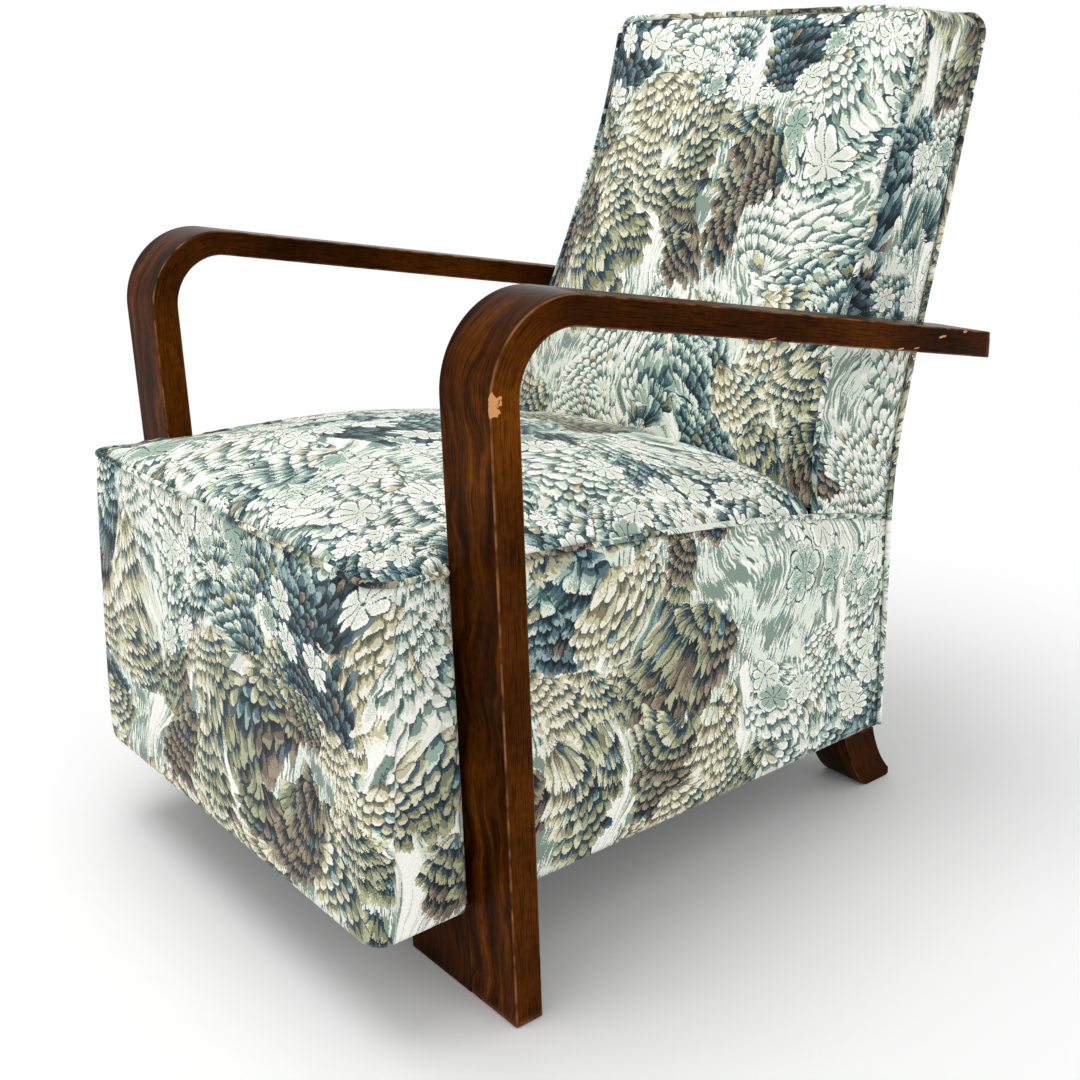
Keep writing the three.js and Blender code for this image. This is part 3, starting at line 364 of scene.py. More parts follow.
def makeCover(name, turn=0.0):
    # jacquard cover: matt, slightly fluffy, with a fine two-way thread relief, which also darkens the colour
    # where it lies low: painted shade
    material, node, shade = newMaterial(name)
    cloth = node("UVMap", uv_map="cloth")
    turned = node("VectorRotate", {0: cloth, "Angle": turn}, rotation_type="Z_AXIS")
    weave = node("Group", {"Cloth": turned}, node_tree=verdureGroup)
    ribs = crossedThreads(node, turned, coverLook["pitch"])
    ribPaintedShade = node("MapRange", [ribs, -1.0, 1.0, 0.93, 1.05])
    slubs = node("TexNoise", {"Vector": turned, "Scale": 420.0, "Detail": 1.0}, **flatNoise)
    slubPaintedShade = node("MapRange", [slubs, 0.3, 0.7, 0.93, 1.05])
    # the colour is scaled by the same relief as the bump, darker in the valleys between threads and slubs:
    # painted shade
    both = node("MULTIPLY", [ribPaintedShade, slubPaintedShade])
    shade({
        "Base Color": node("VectorMath SCALE", {0: weave, "Scale": both}),
        "Normal": node("Bump", {"Height": both, "Distance": coverLook["weaveDepth"], "Strength": 0.7}),
        "Roughness": coverLook["rough"], "Sheen Weight": coverLook["sheen"], "Sheen Roughness": 0.5,
        "Specular IOR Level": 0.15,
    })
    return material


coverCloth = makeCover("verdure jacquard")
pipingCloth = makeCover("bias-cut jacquard", math.radians(45))

# Walnut-stained beech under a worn satin lacquer. The grain runs along each board: fine dark pores on the
# sides, wider wavy figure on the broad faces, and the stain rubbed thin along the edges.
stain = {
    "tones": [(0.0, "#0d0400"), (0.26, "#1d0a00"), (0.50, "#371800"), (0.74, "#552a02"), (1.0, "#77420a")],
    "edge": "#a9764f",
    "bare": "#cf9560",
    "figure": 0.013,   # width of the figure's bands across the grain
    "pore": 0.0011,    # width of an open pore; its length is about 40 times that
    "rough": 0.30,
    "legTone": 0.04,   # how far behind the leg's front face its lighter tone goes
    "restTone": 0.16,  # and where the armrest's deeper tone is reached
}


def makeStainedWood(name, spots=(), depth=1.0):
    # spots are places and sizes of chips and nicks; a depth below 1 darkens the tone with black, painted
    # shade
    material, node, shade = newMaterial(name)
    grain = node("UVMap", uv_map="grain")
    wave = node("TexNoise", {"Vector": grain, "Scale": 11.0, "Detail": 2.0}, **flatNoise)
    waveOff = node("VectorMath SUBTRACT", [(wave, "Color"), halfway])
    side = (node("Attribute", attribute_name="edgeFace"), "Fac")
    swing = node("MapRange", [side, 0.0, 1.0, 0.040, 0.006])
    swung = node("VectorMath SCALE", {0: waveOff, "Scale": swing})
    bent = node("VectorMath MULTIPLY_ADD", [swung, (0.0, 1.0, 0.0), grain])
    stretch = node("VectorMath MULTIPLY", [bent, (0.10, 1.0, 1.0)])
    banding = {"Vector": stretch, "Scale": 1 / stain["figure"], "Detail": 3.0, "Roughness": 0.55}
    bands = node("TexNoise", banding, **flatNoise)
    narrow = node("VectorMath MULTIPLY", [bent, (0.03, 1.0, 1.0)])
    pores = node("TexNoise", {"Vector": narrow, "Scale": 1 / stain["pore"], "Detail": 1.0}, **flatNoise)
    cloud = node("TexNoise", {"Vector": grain, "Scale": 6.0, "Detail": 2.0}, **flatNoise)
    mottle = node("TexNoise", {"Vector": grain, "Scale": 140.0, "Detail": 2.0}, **flatNoise)
    poreDark = node("MapRange", [pores, 0.30, 0.46, 0.26, 0.0])
    figure = node("MapRange", [bands, 0.22, 0.80, 0.22, 0.88])
    clouded = node("MapRange", [cloud, 0.3, 0.7, -0.18, 0.16])
    flecked = node("MapRange", [mottle, 0.3, 0.7, -0.05, 0.05])
    plainSide = node("Mix", {"Factor": side, "A": figure, "B": 0.66})
    mottled = node("ADD", [node("ADD", [plainSide, clouded]), flecked])
    # the armrests took the stain deeper than the legs
    where = (node("TexCoord"), "Object")
    place = node("SeparateXYZ", [where])
    legTo, restFrom = legFront + stain["legTone"], legFront + stain["restTone"]
    taken = node("MapRange", [(place, "Y"), legTo, restFrom, 0.05, -0.13])
    grained = node("SUBTRACT", [node("ADD", [mottled, taken]), poreDark])
    wood = node("ValToRGB", [grained])
    setStops(wood, stain["tones"])
    worn = node("Attribute", attribute_name="wear")
    sharp = node("POWER", [(worn, "Fac"), 2.0])
    rub = node("TexNoise", {"Vector": grain, "Scale": 55.0, "Detail": 3.0}, **flatNoise)
    rubbed = node("MapRange", [rub, 0.38, 0.66, 0.08, 0.66])
    layers = [(node("MULTIPLY", [sharp, rubbed]), stain["edge"])]
    ragged = node("TexNoise", {"Vector": where, "Scale": 220.0, "Detail": 3.0})
    for spot, reach in spots:
        # a chip or nick is a small ragged ellipsoid about its place
        shares = node("VectorMath DIVIDE", [node("VectorMath SUBTRACT", [where, spot]), reach])
        apart = node("VectorMath LENGTH", [shares])
        rough = node("MULTIPLY_ADD", [ragged, 1.4, (apart, "Value")])
        layers.append((node("LESS_THAN", [rough, 1.6]), stain["bare"]))
    # black mixed over the wood by 1 - depth: painted shade
    if depth < 1:
        layers.append((1 - depth, "#000000"))
    # rubbed edges, chips and the painted shade lie over the stain in turn
    color = wood
    for amount, code in layers:
        color = (node("Mix", {0: amount, 6: color, 7: toLinear(code)}, data_type="RGBA"), 2)
    shade({
        "Base Color": color,
        "Roughness": node("MapRange", [cloud, 0.3, 0.7, stain["rough"] - 0.06, stain["rough"] + 0.1]),
        "Normal": node("Bump", {"Height": grained, "Distance": 0.0006, "Strength": 0.2}),
        "IOR": 1.5, "Specular IOR Level": 0.02,
    })
    return material


# Plain planed beech of the hidden frame: pale brown with short dark flecks
def makeBeech():
    material, node, shade = newMaterial("planed beech")
    stretch = node("VectorMath MULTIPLY", [(node("TexCoord"), "Object"), (1.0, 1.0, 0.12)])
    rings = node("TexNoise", {"Vector": stretch, "Scale": 60.0, "Detail": 4.0})
    flecks = node("TexNoise", {"Vector": stretch, "Scale": 700.0, "Detail": 1.0})
    tones = node("ValToRGB", [rings])
    setStops(tones, [(0.3, "#a67c52"), (0.55, "#c39a6d"), (0.8, "#d2ad83")])
    fleck = node("MapRange", [flecks, 0.28, 0.42, 0.78, 1.0])
    shade({"Base Color": node("VectorMath SCALE", {0: tones, "Scale": fleck}), "Roughness": 0.68})
    return material


# Coarse plain weaves: jute webbing and hessian, and the black cambric of the dust cover
def makePlainWeave(name, light, dark, pitch, depth):
    material, node, shade = newMaterial(name)
    where = (node("TexCoord"), "Object")
    crossed = crossedThreads(node, where, pitch)
    fuzz = node("TexNoise", {"Vector": where, "Scale": 180.0, "Detail": 4.0})
    # lighter on the threads' crowns and darker in the valleys between them, painted shade, with fuzz of
    # random tone
    paintedShadeAndFuzz = node("MULTIPLY_ADD", [crossed, 0.22, fuzz])
    tones = node("ValToRGB", [paintedShadeAndFuzz])
    setStops(tones, [(0.25, dark), (0.75, light)])
    bump = node("Bump", {"Height": crossed, "Distance": depth, "Strength": 0.6})
    shade({"Base Color": tones, "Normal": bump, "Roughness": 0.95})
    return material


# Drawn steel wire and bright screws: grey metal with a faint oxide bloom
def makeSteel(name, code, rough):
    material, node, shade = newMaterial(name)
    bloom = node("TexNoise", {"Vector": (node("TexCoord"), "Object"), "Scale": 90.0, "Detail": 5.0})
    tones = node("ValToRGB", [bloom])
    setStops(tones, [(0.3, "#5d5a57"), (0.6, code)])
    haze = node("MapRange", [bloom, 0.3, 0.7, rough + 0.15, rough])
    shade({"Base Color": tones, "Roughness": haze, "Metallic": 1.0})
    return material


finishes = {
    "beech": makeBeech(),
    "jute": makePlainWeave("jute weave", "#b79768", "#7c6240", 0.0030, 0.0006),
    "cambric": makePlainWeave("black cambric", "#33322f", "#191917", 0.0012, 0.0002),
    "spring_wire": makeSteel("drawn spring wire", "#a9abad", 0.38),
    "steel": makeSteel("bright screw steel", "#b9babb", 0.30),
}
print("materials made")


# Meshes

def gridOf(x, y, z):
    # points of a surface from its three coordinates, each a number, a row, a column or a whole grid
    return np.stack(np.broadcast_arrays(x, y, z), axis=-1)


def gridFaces(rows, columns, closeRows=False, closeColumns=False, first=0):
    # quads over a grid whose point (r, c) has the number first + r * columns + c
    r = np.arange(rows if closeRows else rows - 1)
    c = np.arange(columns if closeColumns else columns - 1)
    a, b = np.meshgrid(r, c, indexing="ij")
    up, right = (a + 1) % rows, (b + 1) % columns
    corners = [(a, b), (a, right), (up, right), (up, b)]
    return np.stack([r * columns + c for r, c in corners], axis=-1).reshape(-1, 4) + first


def volumeOf(points, face):
    # six times the signed volume under faces of equal length, from the fan of each about its first corner
    a = points[face[:, 0]]
    return sum(np.einsum("ij,ij->i", a, np.cross(points[face[:, k]], points[face[:, k + 1]])).sum()
               for k in range(1, face.shape[1] - 1))


def newObject(name, data):
    made = bpy.data.objects.new(name, data)
    scene.collection.objects.link(made)
    return made


def newPiece(name, points, faces, material, uv, uvName="cloth", marks=None, caps=()):
    # faces is an array of quads; caps are lists of point numbers for the ends, wound like the faces
    points = points + np.array([0.0, legFront, 0.0])
    if volumeOf(points, faces) + sum(volumeOf(points, cap[None]) for cap in caps) < 0:
        faces = faces[:, ::-1]
        caps = [cap[::-1] for cap in caps]
    mesh = bpy.data.meshes.new(name)
    mesh.from_pydata(points.tolist(), [], faces.tolist() + [cap.tolist() for cap in caps])
    mesh.polygons.foreach_set("use_smooth", np.ones(len(mesh.polygons), dtype=bool))
    loops = np.zeros(len(mesh.loops), dtype=np.int32)
    mesh.loops.foreach_get("vertex_index", loops)
    layer = mesh.uv_layers.new(name=uvName)
    layer.data.foreach_set("uv", uv[loops].astype(np.float32).ravel())
    for mark, values in (marks or {}).items():
        layer = mesh.attributes.new(mark, "FLOAT", "POINT")
        layer.data.foreach_set("value", values.astype(np.float32).ravel())
    mesh.materials.append(material)
    mesh.validate()
    mesh.update()
    return newObject(name, mesh)


def tube(name, rings, run, around, window, material, uvName="cloth", marks=None):
    # a skin over rings of points, closed at both ends; the grain's map has the way along the tube first
    count, sides = rings.shape[:2]
    index = np.arange(count * sides).reshape(count, sides)
    uv = np.stack(np.meshgrid(around, run), axis=-1).reshape(-1, 2)
    if uvName == "grain":
        uv = uv[:, ::-1]
    return newPiece(name, rings.reshape(-1, 3), gridFaces(count, sides, closeColumns=True), material,
                    uv + np.array(window), uvName, marks, [index[0, ::-1], index[-1]])


def seat(piece, slot, *nodes):
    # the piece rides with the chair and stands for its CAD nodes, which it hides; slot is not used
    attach(piece, "root")
    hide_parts(*nodes)


def sheetPair(outer, inner):
    # two sheets over one grid, joined round the rim into one closed body
    rows, columns = outer.shape[:2]
    count = rows * columns
    points = np.concatenate([outer.reshape(-1, 3), inner.reshape(-1, 3)])
    back = gridFaces(rows, columns, first=count)[:, ::-1]
    index = np.arange(count).reshape(rows, columns)
    rim = np.concatenate([index[0, :-1], index[:-1, -1], index[-1, :0:-1], index[:0:-1, 0]])
    nextRim = np.roll(rim, -1)
    wall = np.stack([nextRim, rim, rim + count, nextRim + count], axis=-1)
    return points, np.concatenate([gridFaces(rows, columns), back, wall])


def runAlong(path):
    # way covered at each point of a path
    return np.concatenate([[0], np.cumsum(np.linalg.norm(np.diff(path, axis=0), axis=1))])


def mirrored(half, skip=0):
    # rows of points and their mirror image in x in one run; skip leaves out rows on the middle line
    other = half[::-1][skip:].copy()
    other[..., 0] *= -1
    return np.concatenate([half, other])


def lerp(a, b, t):
    return a + (b - a) * t


def share(value, a, b):
    return (value - a) / (b - a)


def bow(s, power):
    # 1 in the middle, falling to 0 at s = -1 and s = 1: sqrt(1 - |s| ^ power)
    return np.sqrt(np.clip(1 - np.abs(s) ** power, 0, None))


def hump(s, power=4.0):
    # the same between s = 0 and s = 1
    return bow(2 * s - 1, power)


def ease(t):
    t = np.clip(t, 0, 1)
    return t * t * (3 - 2 * t)


def cornerCut(over, radius):
    # how far a rounded corner lies inside the straight side, `over` past the start of the rounding
    return radius - np.sqrt(np.clip(radius ** 2 - np.clip(over, 0, None) ** 2, 0, None))


def quarterRound(x, y, radius, side=1):
    # quarter circle about (x, y) from +x to the second axis, or to its negative with side -1
    turns = np.linspace(0, np.pi / 2, 12)[1:]
    return np.array([x, y]) + radius * np.column_stack([np.cos(turns), side * np.sin(turns)])


# The box: where its cover lies
box = {
    "frontFoot": -0.112, "frontHead": -0.087, "rear": 0.595,
    "halfFront": armInner + 0.019, "halfRear": armInner - 0.012,
    "bottomFront": 0.101, "bottomRear": 0.073,
    "topFront": 0.430, "topRear": 0.327, "droop": 0.4,
    "cornerRound": 0.028, "legThick": 0.030, "legReach": 0.010, "clear": 0.0003,
    "fullness": 0.005, "drawIn": 0.0035, "thick": 0.012, "hem": 0.016, "edgeRound": 0.004,
    "height": 0.33, "frontSpread": 0.29, "besideLeg": 0.0012, "besideReach": 0.010, "rows": 58,
    "window": (1.48, 1.898),  # where in the pattern the cloth is cut
}
piping = {"radius": 0.0030, "gap": 0.0006, "sides": 14, "step": 0.004}
pipingInset = piping["radius"] + piping["gap"]
underPiping = piping["radius"] + box["clear"]
sewnInset = pipingInset + box["drawIn"]


def frontAt(z):
    # the front leans: a straight line from its foot to its head
    return lerp(box["frontFoot"], box["frontHead"], share(z, box["bottomFront"], box["topFront"]))


def alongBox(y):
    # 0 at the front's head, 1 at the rear
    return share(y, box["frontHead"], box["rear"])


def bottomAt(y):
    return lerp(box["bottomFront"], box["bottomRear"], share(y, box["frontFoot"], box["rear"]))


def boxHalfAt(y):
    return lerp(box["halfFront"], box["halfRear"], alongBox(y))


def sideTopAt(y):
    # the top seam falls towards the rear: a straight line bent by the share droop of a cube
    u = alongBox(y)
    return lerp(box["topFront"], box["topRear"], (1 - box["droop"]) * u + box["droop"] * u ** 3)


def pinchAt(y, reach=box["legReach"]):
    # 1 against the leg, easing to 0 beside it
    away = np.abs(y - box["legThick"] / 2) - box["legThick"] / 2 - box["clear"]
    return 1 - ease(away / reach)


def coverHalfAt(y, inset=0.0):
    # half the box's width, drawn in by inset, and pressed flat against the legs
    return lerp(boxHalfAt(y) - inset, armInner - box["clear"] - inset * 0.7, pinchAt(y))


# The back
back = {
    "top": 0.856, "topDrop": 0.010, "halfTop": armInner - 0.037, "flare": 5.0,
    "seamFootY": 0.467, "seamFootZ": 0.362, "seamHeadY": 0.648, "seamSwell": 0.009,
    "outsideHeadY": 0.752, "outsideSwell": 0.008, "cornerRound": 0.024, "crown": 0.024, "thick": 0.009,
    "fullness": 0.003,
}
cornerFoot = back["top"] - back["cornerRound"]
rearTop = back["top"] - back["topDrop"]


def seamAt(z):
    # the back's front seam: a straight slope less one sine wave, which makes it gently S-shaped
    t = share(z, back["seamFootZ"], back["top"])
    return lerp(back["seamFootY"], back["seamHeadY"], t) - back["seamSwell"] * np.sin(2 * np.pi * t)


def outsideAt(z):
    # the outside back: upright up to the box's top, then a slope with half a sine wave on it
    t = np.maximum(share(z, box["topRear"], back["top"]), 0)
    swell = back["outsideSwell"] * np.sin(np.pi * np.minimum(t, 1))
    return lerp(box["rear"], back["outsideHeadY"], t) + swell


def backHalfAt(y, z):
    # the back widens downwards with a high power, so that it flares only just above the box
    rise = np.clip(share(z, back["top"], sideTopAt(y)), 0, 1)
    return lerp(back["halfTop"], boxHalfAt(y), rise ** back["flare"])


def rearHalfAt(z):
    # half width along the outside back, from the box's foot to the back's top
    return np.where(z < box["topRear"], boxHalfAt(box["rear"]), backHalfAt(outsideAt(z), z))


def puckers(along, away, height=0.0006, pitch=0.019, reach=0.020, seed=0.0):
    # small gathers beside a seam: waves along it that die out away from it
    wave = np.sin(2 * np.pi * along / pitch + 2.3 * np.sin(along * 31 + seed))
    return height * wave * np.exp(-np.clip(away, 0, None) / reach) * np.clip(away / 0.004, 0, 1)


# Cloth simulation: the skin is held round its rim and blown up gently, then its travel is capped
inflation = {"frames": 20, "cap": 0.022}
clothSettings = {
    "vertex_group_mass": "held", "use_pressure": True, "uniform_pressure_force": 3.0,
    "quality": 4, "mass": 0.3, "bending_stiffness": 0.4,
    "tension_stiffness": 25, "compression_stiffness": 25, "shear_stiffness": 8,
}


def pointsOf(mesh):
    flat = np.zeros(len(mesh.vertices) * 3, dtype=np.float32)
    mesh.vertices.foreach_get("co", flat)
    return flat.reshape(-1, 3)


def inflated(piece, held):
    before = pointsOf(piece.data)
    group = piece.vertex_groups.new(name="held")
    group.add(np.nonzero(held)[0].tolist(), 1.0, "REPLACE")
    cloth = piece.modifiers.new("cloth", "CLOTH")
    for name, value in clothSettings.items():
        setattr(cloth.settings, name, value)
    cloth.settings.effector_weights.gravity = 0
    cloth.point_cache.frame_start = 1
    cloth.point_cache.frame_end = inflation["frames"]
    for number in range(1, inflation["frames"] + 1):
        scene.frame_set(number)
    evaluated = piece.evaluated_get(bpy.context.evaluated_depsgraph_get())
    moved = pointsOf(evaluated.data) - before
    piece.modifiers.remove(cloth)
    scene.frame_set(1)
    travel = np.linalg.norm(moved, axis=1, keepdims=True)
    print("simulated", piece.name, "largest travel", round(float(travel.max()), 4))
    return before + moved * np.minimum(1, inflation["cap"] / np.maximum(travel, 1e-9))


def makePad(name, outer, inner, across, along, window, nodes, gathers=None):
    # upholstery between two skins. across and along are its places on the cloth, and window says where in the
    # pattern it is cut. With gathers, the outer skin is blown up and then takes them
    rows, columns = outer.shape[:2]
    points, faces = sheetPair(outer, inner)
    uv = np.stack(np.broadcast_arrays(across, along), axis=-1).reshape(-1, 2) + np.array(window)
    piece = newPiece(name, points, faces, coverCloth, np.concatenate([uv, uv]))
    if gathers is not None:
        held = np.ones((2 * rows, columns), dtype=bool)
        held[1:rows - 1, 1:-1] = False
        places = inflated(piece, held.ravel())
        places[:rows * columns] += gathers.reshape(-1, 3)
        piece.data.vertices.foreach_set("co", places.ravel())
        piece.data.update()
    seat(piece, "cover", *nodes)


# Box cover: one length of cloth goes round both sides and the front, tacked under the frame

def boxPlan(step=0.006):
    # stations in y along the left side, closer by the leg, and stations in x over the left half of the front
    corner = box["frontHead"] + box["cornerRound"]
    legRear, legAhead = 0.06, -0.03
    sides = np.unique(np.round(np.concatenate([
        np.arange(box["rear"], legRear, -step), np.linspace(legAhead, legRear, 46),
        np.arange(legAhead, corner, -step), [corner]]), 5))[::-1]
    halfFront = boxHalfAt(box["frontHead"]) - box["cornerRound"]
    return sides, np.linspace(halfFront, 0, int(halfFront / step))


def boxCover():
    sides, across = boxPlan()
    rows, corner, height, level = (box[key] for key in ("rows", "cornerRound", "height", "frontHead"))
    v = np.linspace(0, 1, rows)[:, None]

    def levels(y):
        return lerp(bottomAt(y), sideTopAt(y) - underPiping, v)

    # the side leans with the front, so its stations slide forward with the height. It swells out by the
    # fullness between its seams, and by a little more beside the leg
    slide = share(sides, box["rear"], level + corner)
    y = lerp(box["rear"], frontAt(levels(sides)) + corner, slide)
    full = box["fullness"] * (hump(share(sides, sides[0], sides[-1]), 6) * hump(v) - 1) * (1 - pinchAt(y))
    fromLeg = np.abs(y - box["legThick"] / 2) - box["legThick"]
    besideLeg = box["besideLeg"] * np.exp(-(fromLeg / box["besideReach"]) ** 2) * hump(v)
    x = coverHalfAt(y) + full + besideLeg + puckers(y, (1 - v) * height) + puckers(y, v * height, seed=2.0)
    side = gridOf(x, y, levels(y))
    # the corner is a quarter circle, and the fullness turns with it from the side's to the front's
    turns = np.linspace(0, np.pi / 2, 9)[1:-1]
    z = levels(level)
    slack = box["fullness"] * (1 - hump(v))
    x = boxHalfAt(level) - corner * (1 - np.cos(turns)) - slack * (1 - np.sin(turns))
    y = frontAt(z) + slack * np.sin(turns) + corner * (1 - np.sin(turns))
    rounded = gridOf(x, y, z)
    spread = hump(share(across, -box["frontSpread"], box["frontSpread"]), 8)
    y = frontAt(z) + box["fullness"] * (1 - hump(v) * spread)
    y = y - puckers(across, (1 - v) * height, seed=1.0) - puckers(across, v * height, seed=3.0)
    half = np.concatenate([side, rounded, gridOf(across, y, z)], axis=1)
    skin = mirrored(half.swapaxes(0, 1), 1).swapaxes(0, 1)
    # inward directions in plan, from the middle row's outline
    middle = skin[rows // 2, :, :2]
    tangent = np.gradient(middle, axis=0)
    tangent /= np.linalg.norm(tangent, axis=1, keepdims=True)
    inward = np.column_stack([tangent[:, 1], -tangent[:, 0], np.zeros(len(tangent))])

    def inset(row, deep, rise=0.0):
        return skin[row] + inward * deep + np.array([0, 0, rise])

    # the cloth turns in at the seam, is backed by the stuffing, and turns under the frame with a hem
    thick, hem = box["thick"], box["hem"]
    head = [inset(-1, d) for d in np.linspace(0.001, thick, 3)]
    inside = [lerp(inset(-1, thick), inset(0, thick, 0.004), t) for t in np.linspace(0.1, 0.95, 6)]
    under = [inset(0, hem, 0.002)] + [inset(0, d) for d in np.linspace(hem, box["edgeRound"], 4)]
    rings = np.array([*skin, *head, *inside, *under])
    count, length = rings.shape[:2]
    index = np.arange(count * length).reshape(count, length)
    runs = runAlong(middle)
    runs -= runs[len(runs) // 2]
    uv = np.stack(np.meshgrid(runs, runAlong(rings.mean(1))), axis=-1)
    uv[:rows, :, 1] = skin[:, :, 2]
    uv = uv.reshape(-1, 2) * np.array([-1, 1]) + np.array(box["window"])
    faces = gridFaces(count, length, closeRows=True)
    caps = [index[:, 0], index[::-1, -1]]
    piece = newPiece("box_cover", rings.reshape(-1, 3), faces, coverCloth, uv, caps=caps)
    seat(piece, "cover", "front_panel", "side_panel_left", "side_panel_right")


boxCover()
print("box cover made")


def acrossShares(columns, crowding=0.94):
    # stations from -1 to 1, closer towards both ends
    return np.sin(np.linspace(-np.pi / 2, np.pi / 2, columns) * crowding) / np.sin(np.pi / 2 * crowding)


# Seat: a crowned cushion top on the springs, sewn to the box cover at the welt. slack is the share of the
# crown that is built, and the simulation gives the rest
seatTop = {
    "crown": 0.050, "slack": 0.86, "acrossPower": 2.7, "frontPower": 8.0, "rows": 112, "columns": 118,
    "window": (0.42, 0.288),
}


def seatCushion():
    # over the seam by crown * sqrt(1 - |across|^2.7) * sqrt(1 - (1 - along)^8)
    front, rear = box["frontHead"] + sewnInset, back["seamFootY"] - pipingInset
    y = lerp(front, rear, np.linspace(0, 1, seatTop["rows"]) ** 1.25)[:, None]
    s = acrossShares(seatTop["columns"])
    radius = box["cornerRound"] - sewnInset
    half = coverHalfAt(y, sewnInset)
    x = s * (half - cornerCut(radius - (y - front), radius))
    shape = bow(s, seatTop["acrossPower"]) * bow(1 - share(y, front, rear), seatTop["frontPower"])
    seam = sideTopAt(y)
    crown = seatTop["crown"] * seatTop["slack"]
    gathers = puckers(y, half - np.abs(x), 0.0008) + puckers(x, y - front, 0.0009, seed=4.0)
    makePad("seat_top", gridOf(x, y, seam + crown * shape), gridOf(x, y, seam - underPiping), x, y - front,
            seatTop["window"], ["seat_cushion"], gridOf(0.0, 0.0, gathers))


seatCushion()
print("seat made")

# Back front: a crowned, gently S-shaped pad inside its own welt
backFront = {
    "slack": 0.80, "acrossPower": 3.2, "alongPower": 5.0, "rows": 104, "columns": 92,
    "window": (5.268, 0.06),
}


def backCushion():
    # before the seam by crown * sqrt(1 - |across|^3.2) * sqrt(1 - |2 along - 1|^5)
    foot, head = back["seamFootZ"] + pipingInset, back["top"] - pipingInset
    t = np.linspace(0, 1, backFront["rows"])[:, None]
    t = lerp(t, np.sin(t * np.pi / 2), 0.5)
    z = lerp(foot, head, t)
    s = acrossShares(backFront["columns"])
    radius = back["cornerRound"] - pipingInset
    seam = seamAt(z)
    half = backHalfAt(seam, z) - pipingInset - cornerCut(z - (head - radius), radius)
    x = s * half
    shape = bow(s, backFront["acrossPower"]) * hump(t, backFront["alongPower"])
    crown = back["crown"] * backFront["slack"]
    gathers = puckers(z, half - np.abs(x), 0.0007, seed=5.0)
    makePad("back_front", gridOf(x, seam - crown * shape, z), gridOf(x, seam + underPiping, z),
            x, runAlong(np.column_stack([seam, z]))[:, None], backFront["window"], ["back_cushion"],
            gridOf(0.0, -gathers, 0.0))


backCushion()
print("back front made")

# Back boxing: one strip up the left side, over the top and down the right side
boxing = {
    "sideCount": 72, "turnCount": 10, "topCount": 60, "depthCount": 26, "dip": 0.0025,
    "window": (4.13, 0.52),
}


def boxingStations():
    # each station: (share up the side, angle round the corner, place across the top)
    up = [(v, 0.0, 0.0) for v in np.linspace(0, 1, boxing["sideCount"])]
    turn = [(1.0, a, 0.0) for a in np.linspace(0, np.pi / 2, boxing["turnCount"])[1:]]
    across = [(1.0, np.pi / 2, w) for w in np.linspace(0, 1, boxing["topCount"])[1:]]
    return np.array(up + turn + across)


def boxingSurface(stations, t, inset):
    # place of the strip for each station and depth share t, drawn in by inset. The level at the side and the
    # depth hang on each other, so they are found in turns
    v, angle, w = stations[:, :1], stations[:, 1:2], stations[:, 2:3]
    y = lerp(back["seamFootY"], box["rear"], t) * np.ones_like(v)
    radius = back["cornerRound"]
    for _ in range(6):
        drop = back["topDrop"] * share(y, back["seamHeadY"], back["outsideHeadY"])
        level = lerp(sideTopAt(y) + pipingInset, cornerFoot - drop, v)
        z = level + (radius - inset) * np.sin(angle)
        y = lerp(seamAt(z) + pipingInset, outsideAt(z) - pipingInset, t)
    side = backHalfAt(y, level) - inset - (radius - inset) * (1 - np.cos(angle))
    x = side - w * (back["halfTop"] - radius)
    dip = boxing["dip"] * np.sin(np.pi * np.clip(t, 0, 1)) * (w > 0) * ease(w * 3)
    return gridOf(x, y, z - dip)


def backBoxing():
    t = np.linspace(0, 1, boxing["depthCount"])
    stations = boxingStations()
    outward = gridOf(np.cos(stations[:, 1:2]), 0.0, np.sin(stations[:, 1:2]))
    full = back["fullness"] * (hump(t) - 1)
    outer = mirrored(boxingSurface(stations, t, 0.0) + outward * full[:, None], 1)
    inner = mirrored(boxingSurface(stations, t, back["thick"]), 1)
    across, along = runAlong(outer[20]), runAlong(outer[:, 12])[:, None]
    makePad("back_boxing", outer, inner, across, along, boxing["window"],
            ["back_boxing_left", "back_boxing_right", "back_boxing_top"])


backBoxing()

# Outside back: one panel from the box's foot to the top
outside = {
    "columns": 84, "boxRows": 44, "backRows": 90, "thick": 0.006, "height": 0.7, "window": (5.31, 0.35),
}


def outsideBack():
    low = np.linspace(bottomAt(box["rear"]), box["topRear"], outside["boxRows"])
    high = np.linspace(box["topRear"], rearTop - pipingInset, outside["backRows"])
    z = np.concatenate([low, high[1:]])[:, None]
    radius = back["cornerRound"]
    s = np.linspace(-1, 1, outside["columns"])
    x = s * (rearHalfAt(z) - pipingInset - cornerCut(z - (rearTop - radius), radius))
    v = share(z, z.min(), z.max())
    full = back["fullness"] * hump((s + 1) / 2) * hump(v)
    y = outsideAt(z) + full - puckers(x, (1 - v) * outside["height"], 0.0005, seed=6.0)
    inner = gridOf(x, y - outside["thick"] - full, z)
    makePad("back_outside", gridOf(x, y, z), inner, x, z, outside["window"], ["outside_back"])


outsideBack()
print("back made")


# Welts: a cord sewn into a folded bias strip

def carried(path, section):
    # section offsets are carried along the path in its own plane, without twist
    tangent = np.gradient(path, axis=0)
    tangent /= np.linalg.norm(tangent, axis=1, keepdims=True)
    normal = np.cross(tangent[0], [0.0, 0.0, 1.0] if abs(tangent[0][2]) < 0.9 else [0.0, 1.0, 0.0])
    rings = []
    for t in tangent:
        normal = normal - t * np.dot(normal, t)
        normal = normal / np.linalg.norm(normal)
        rings.append(section[:, :1] * normal + section[:, 1:] * np.cross(t, normal))
    return np.array(rings)


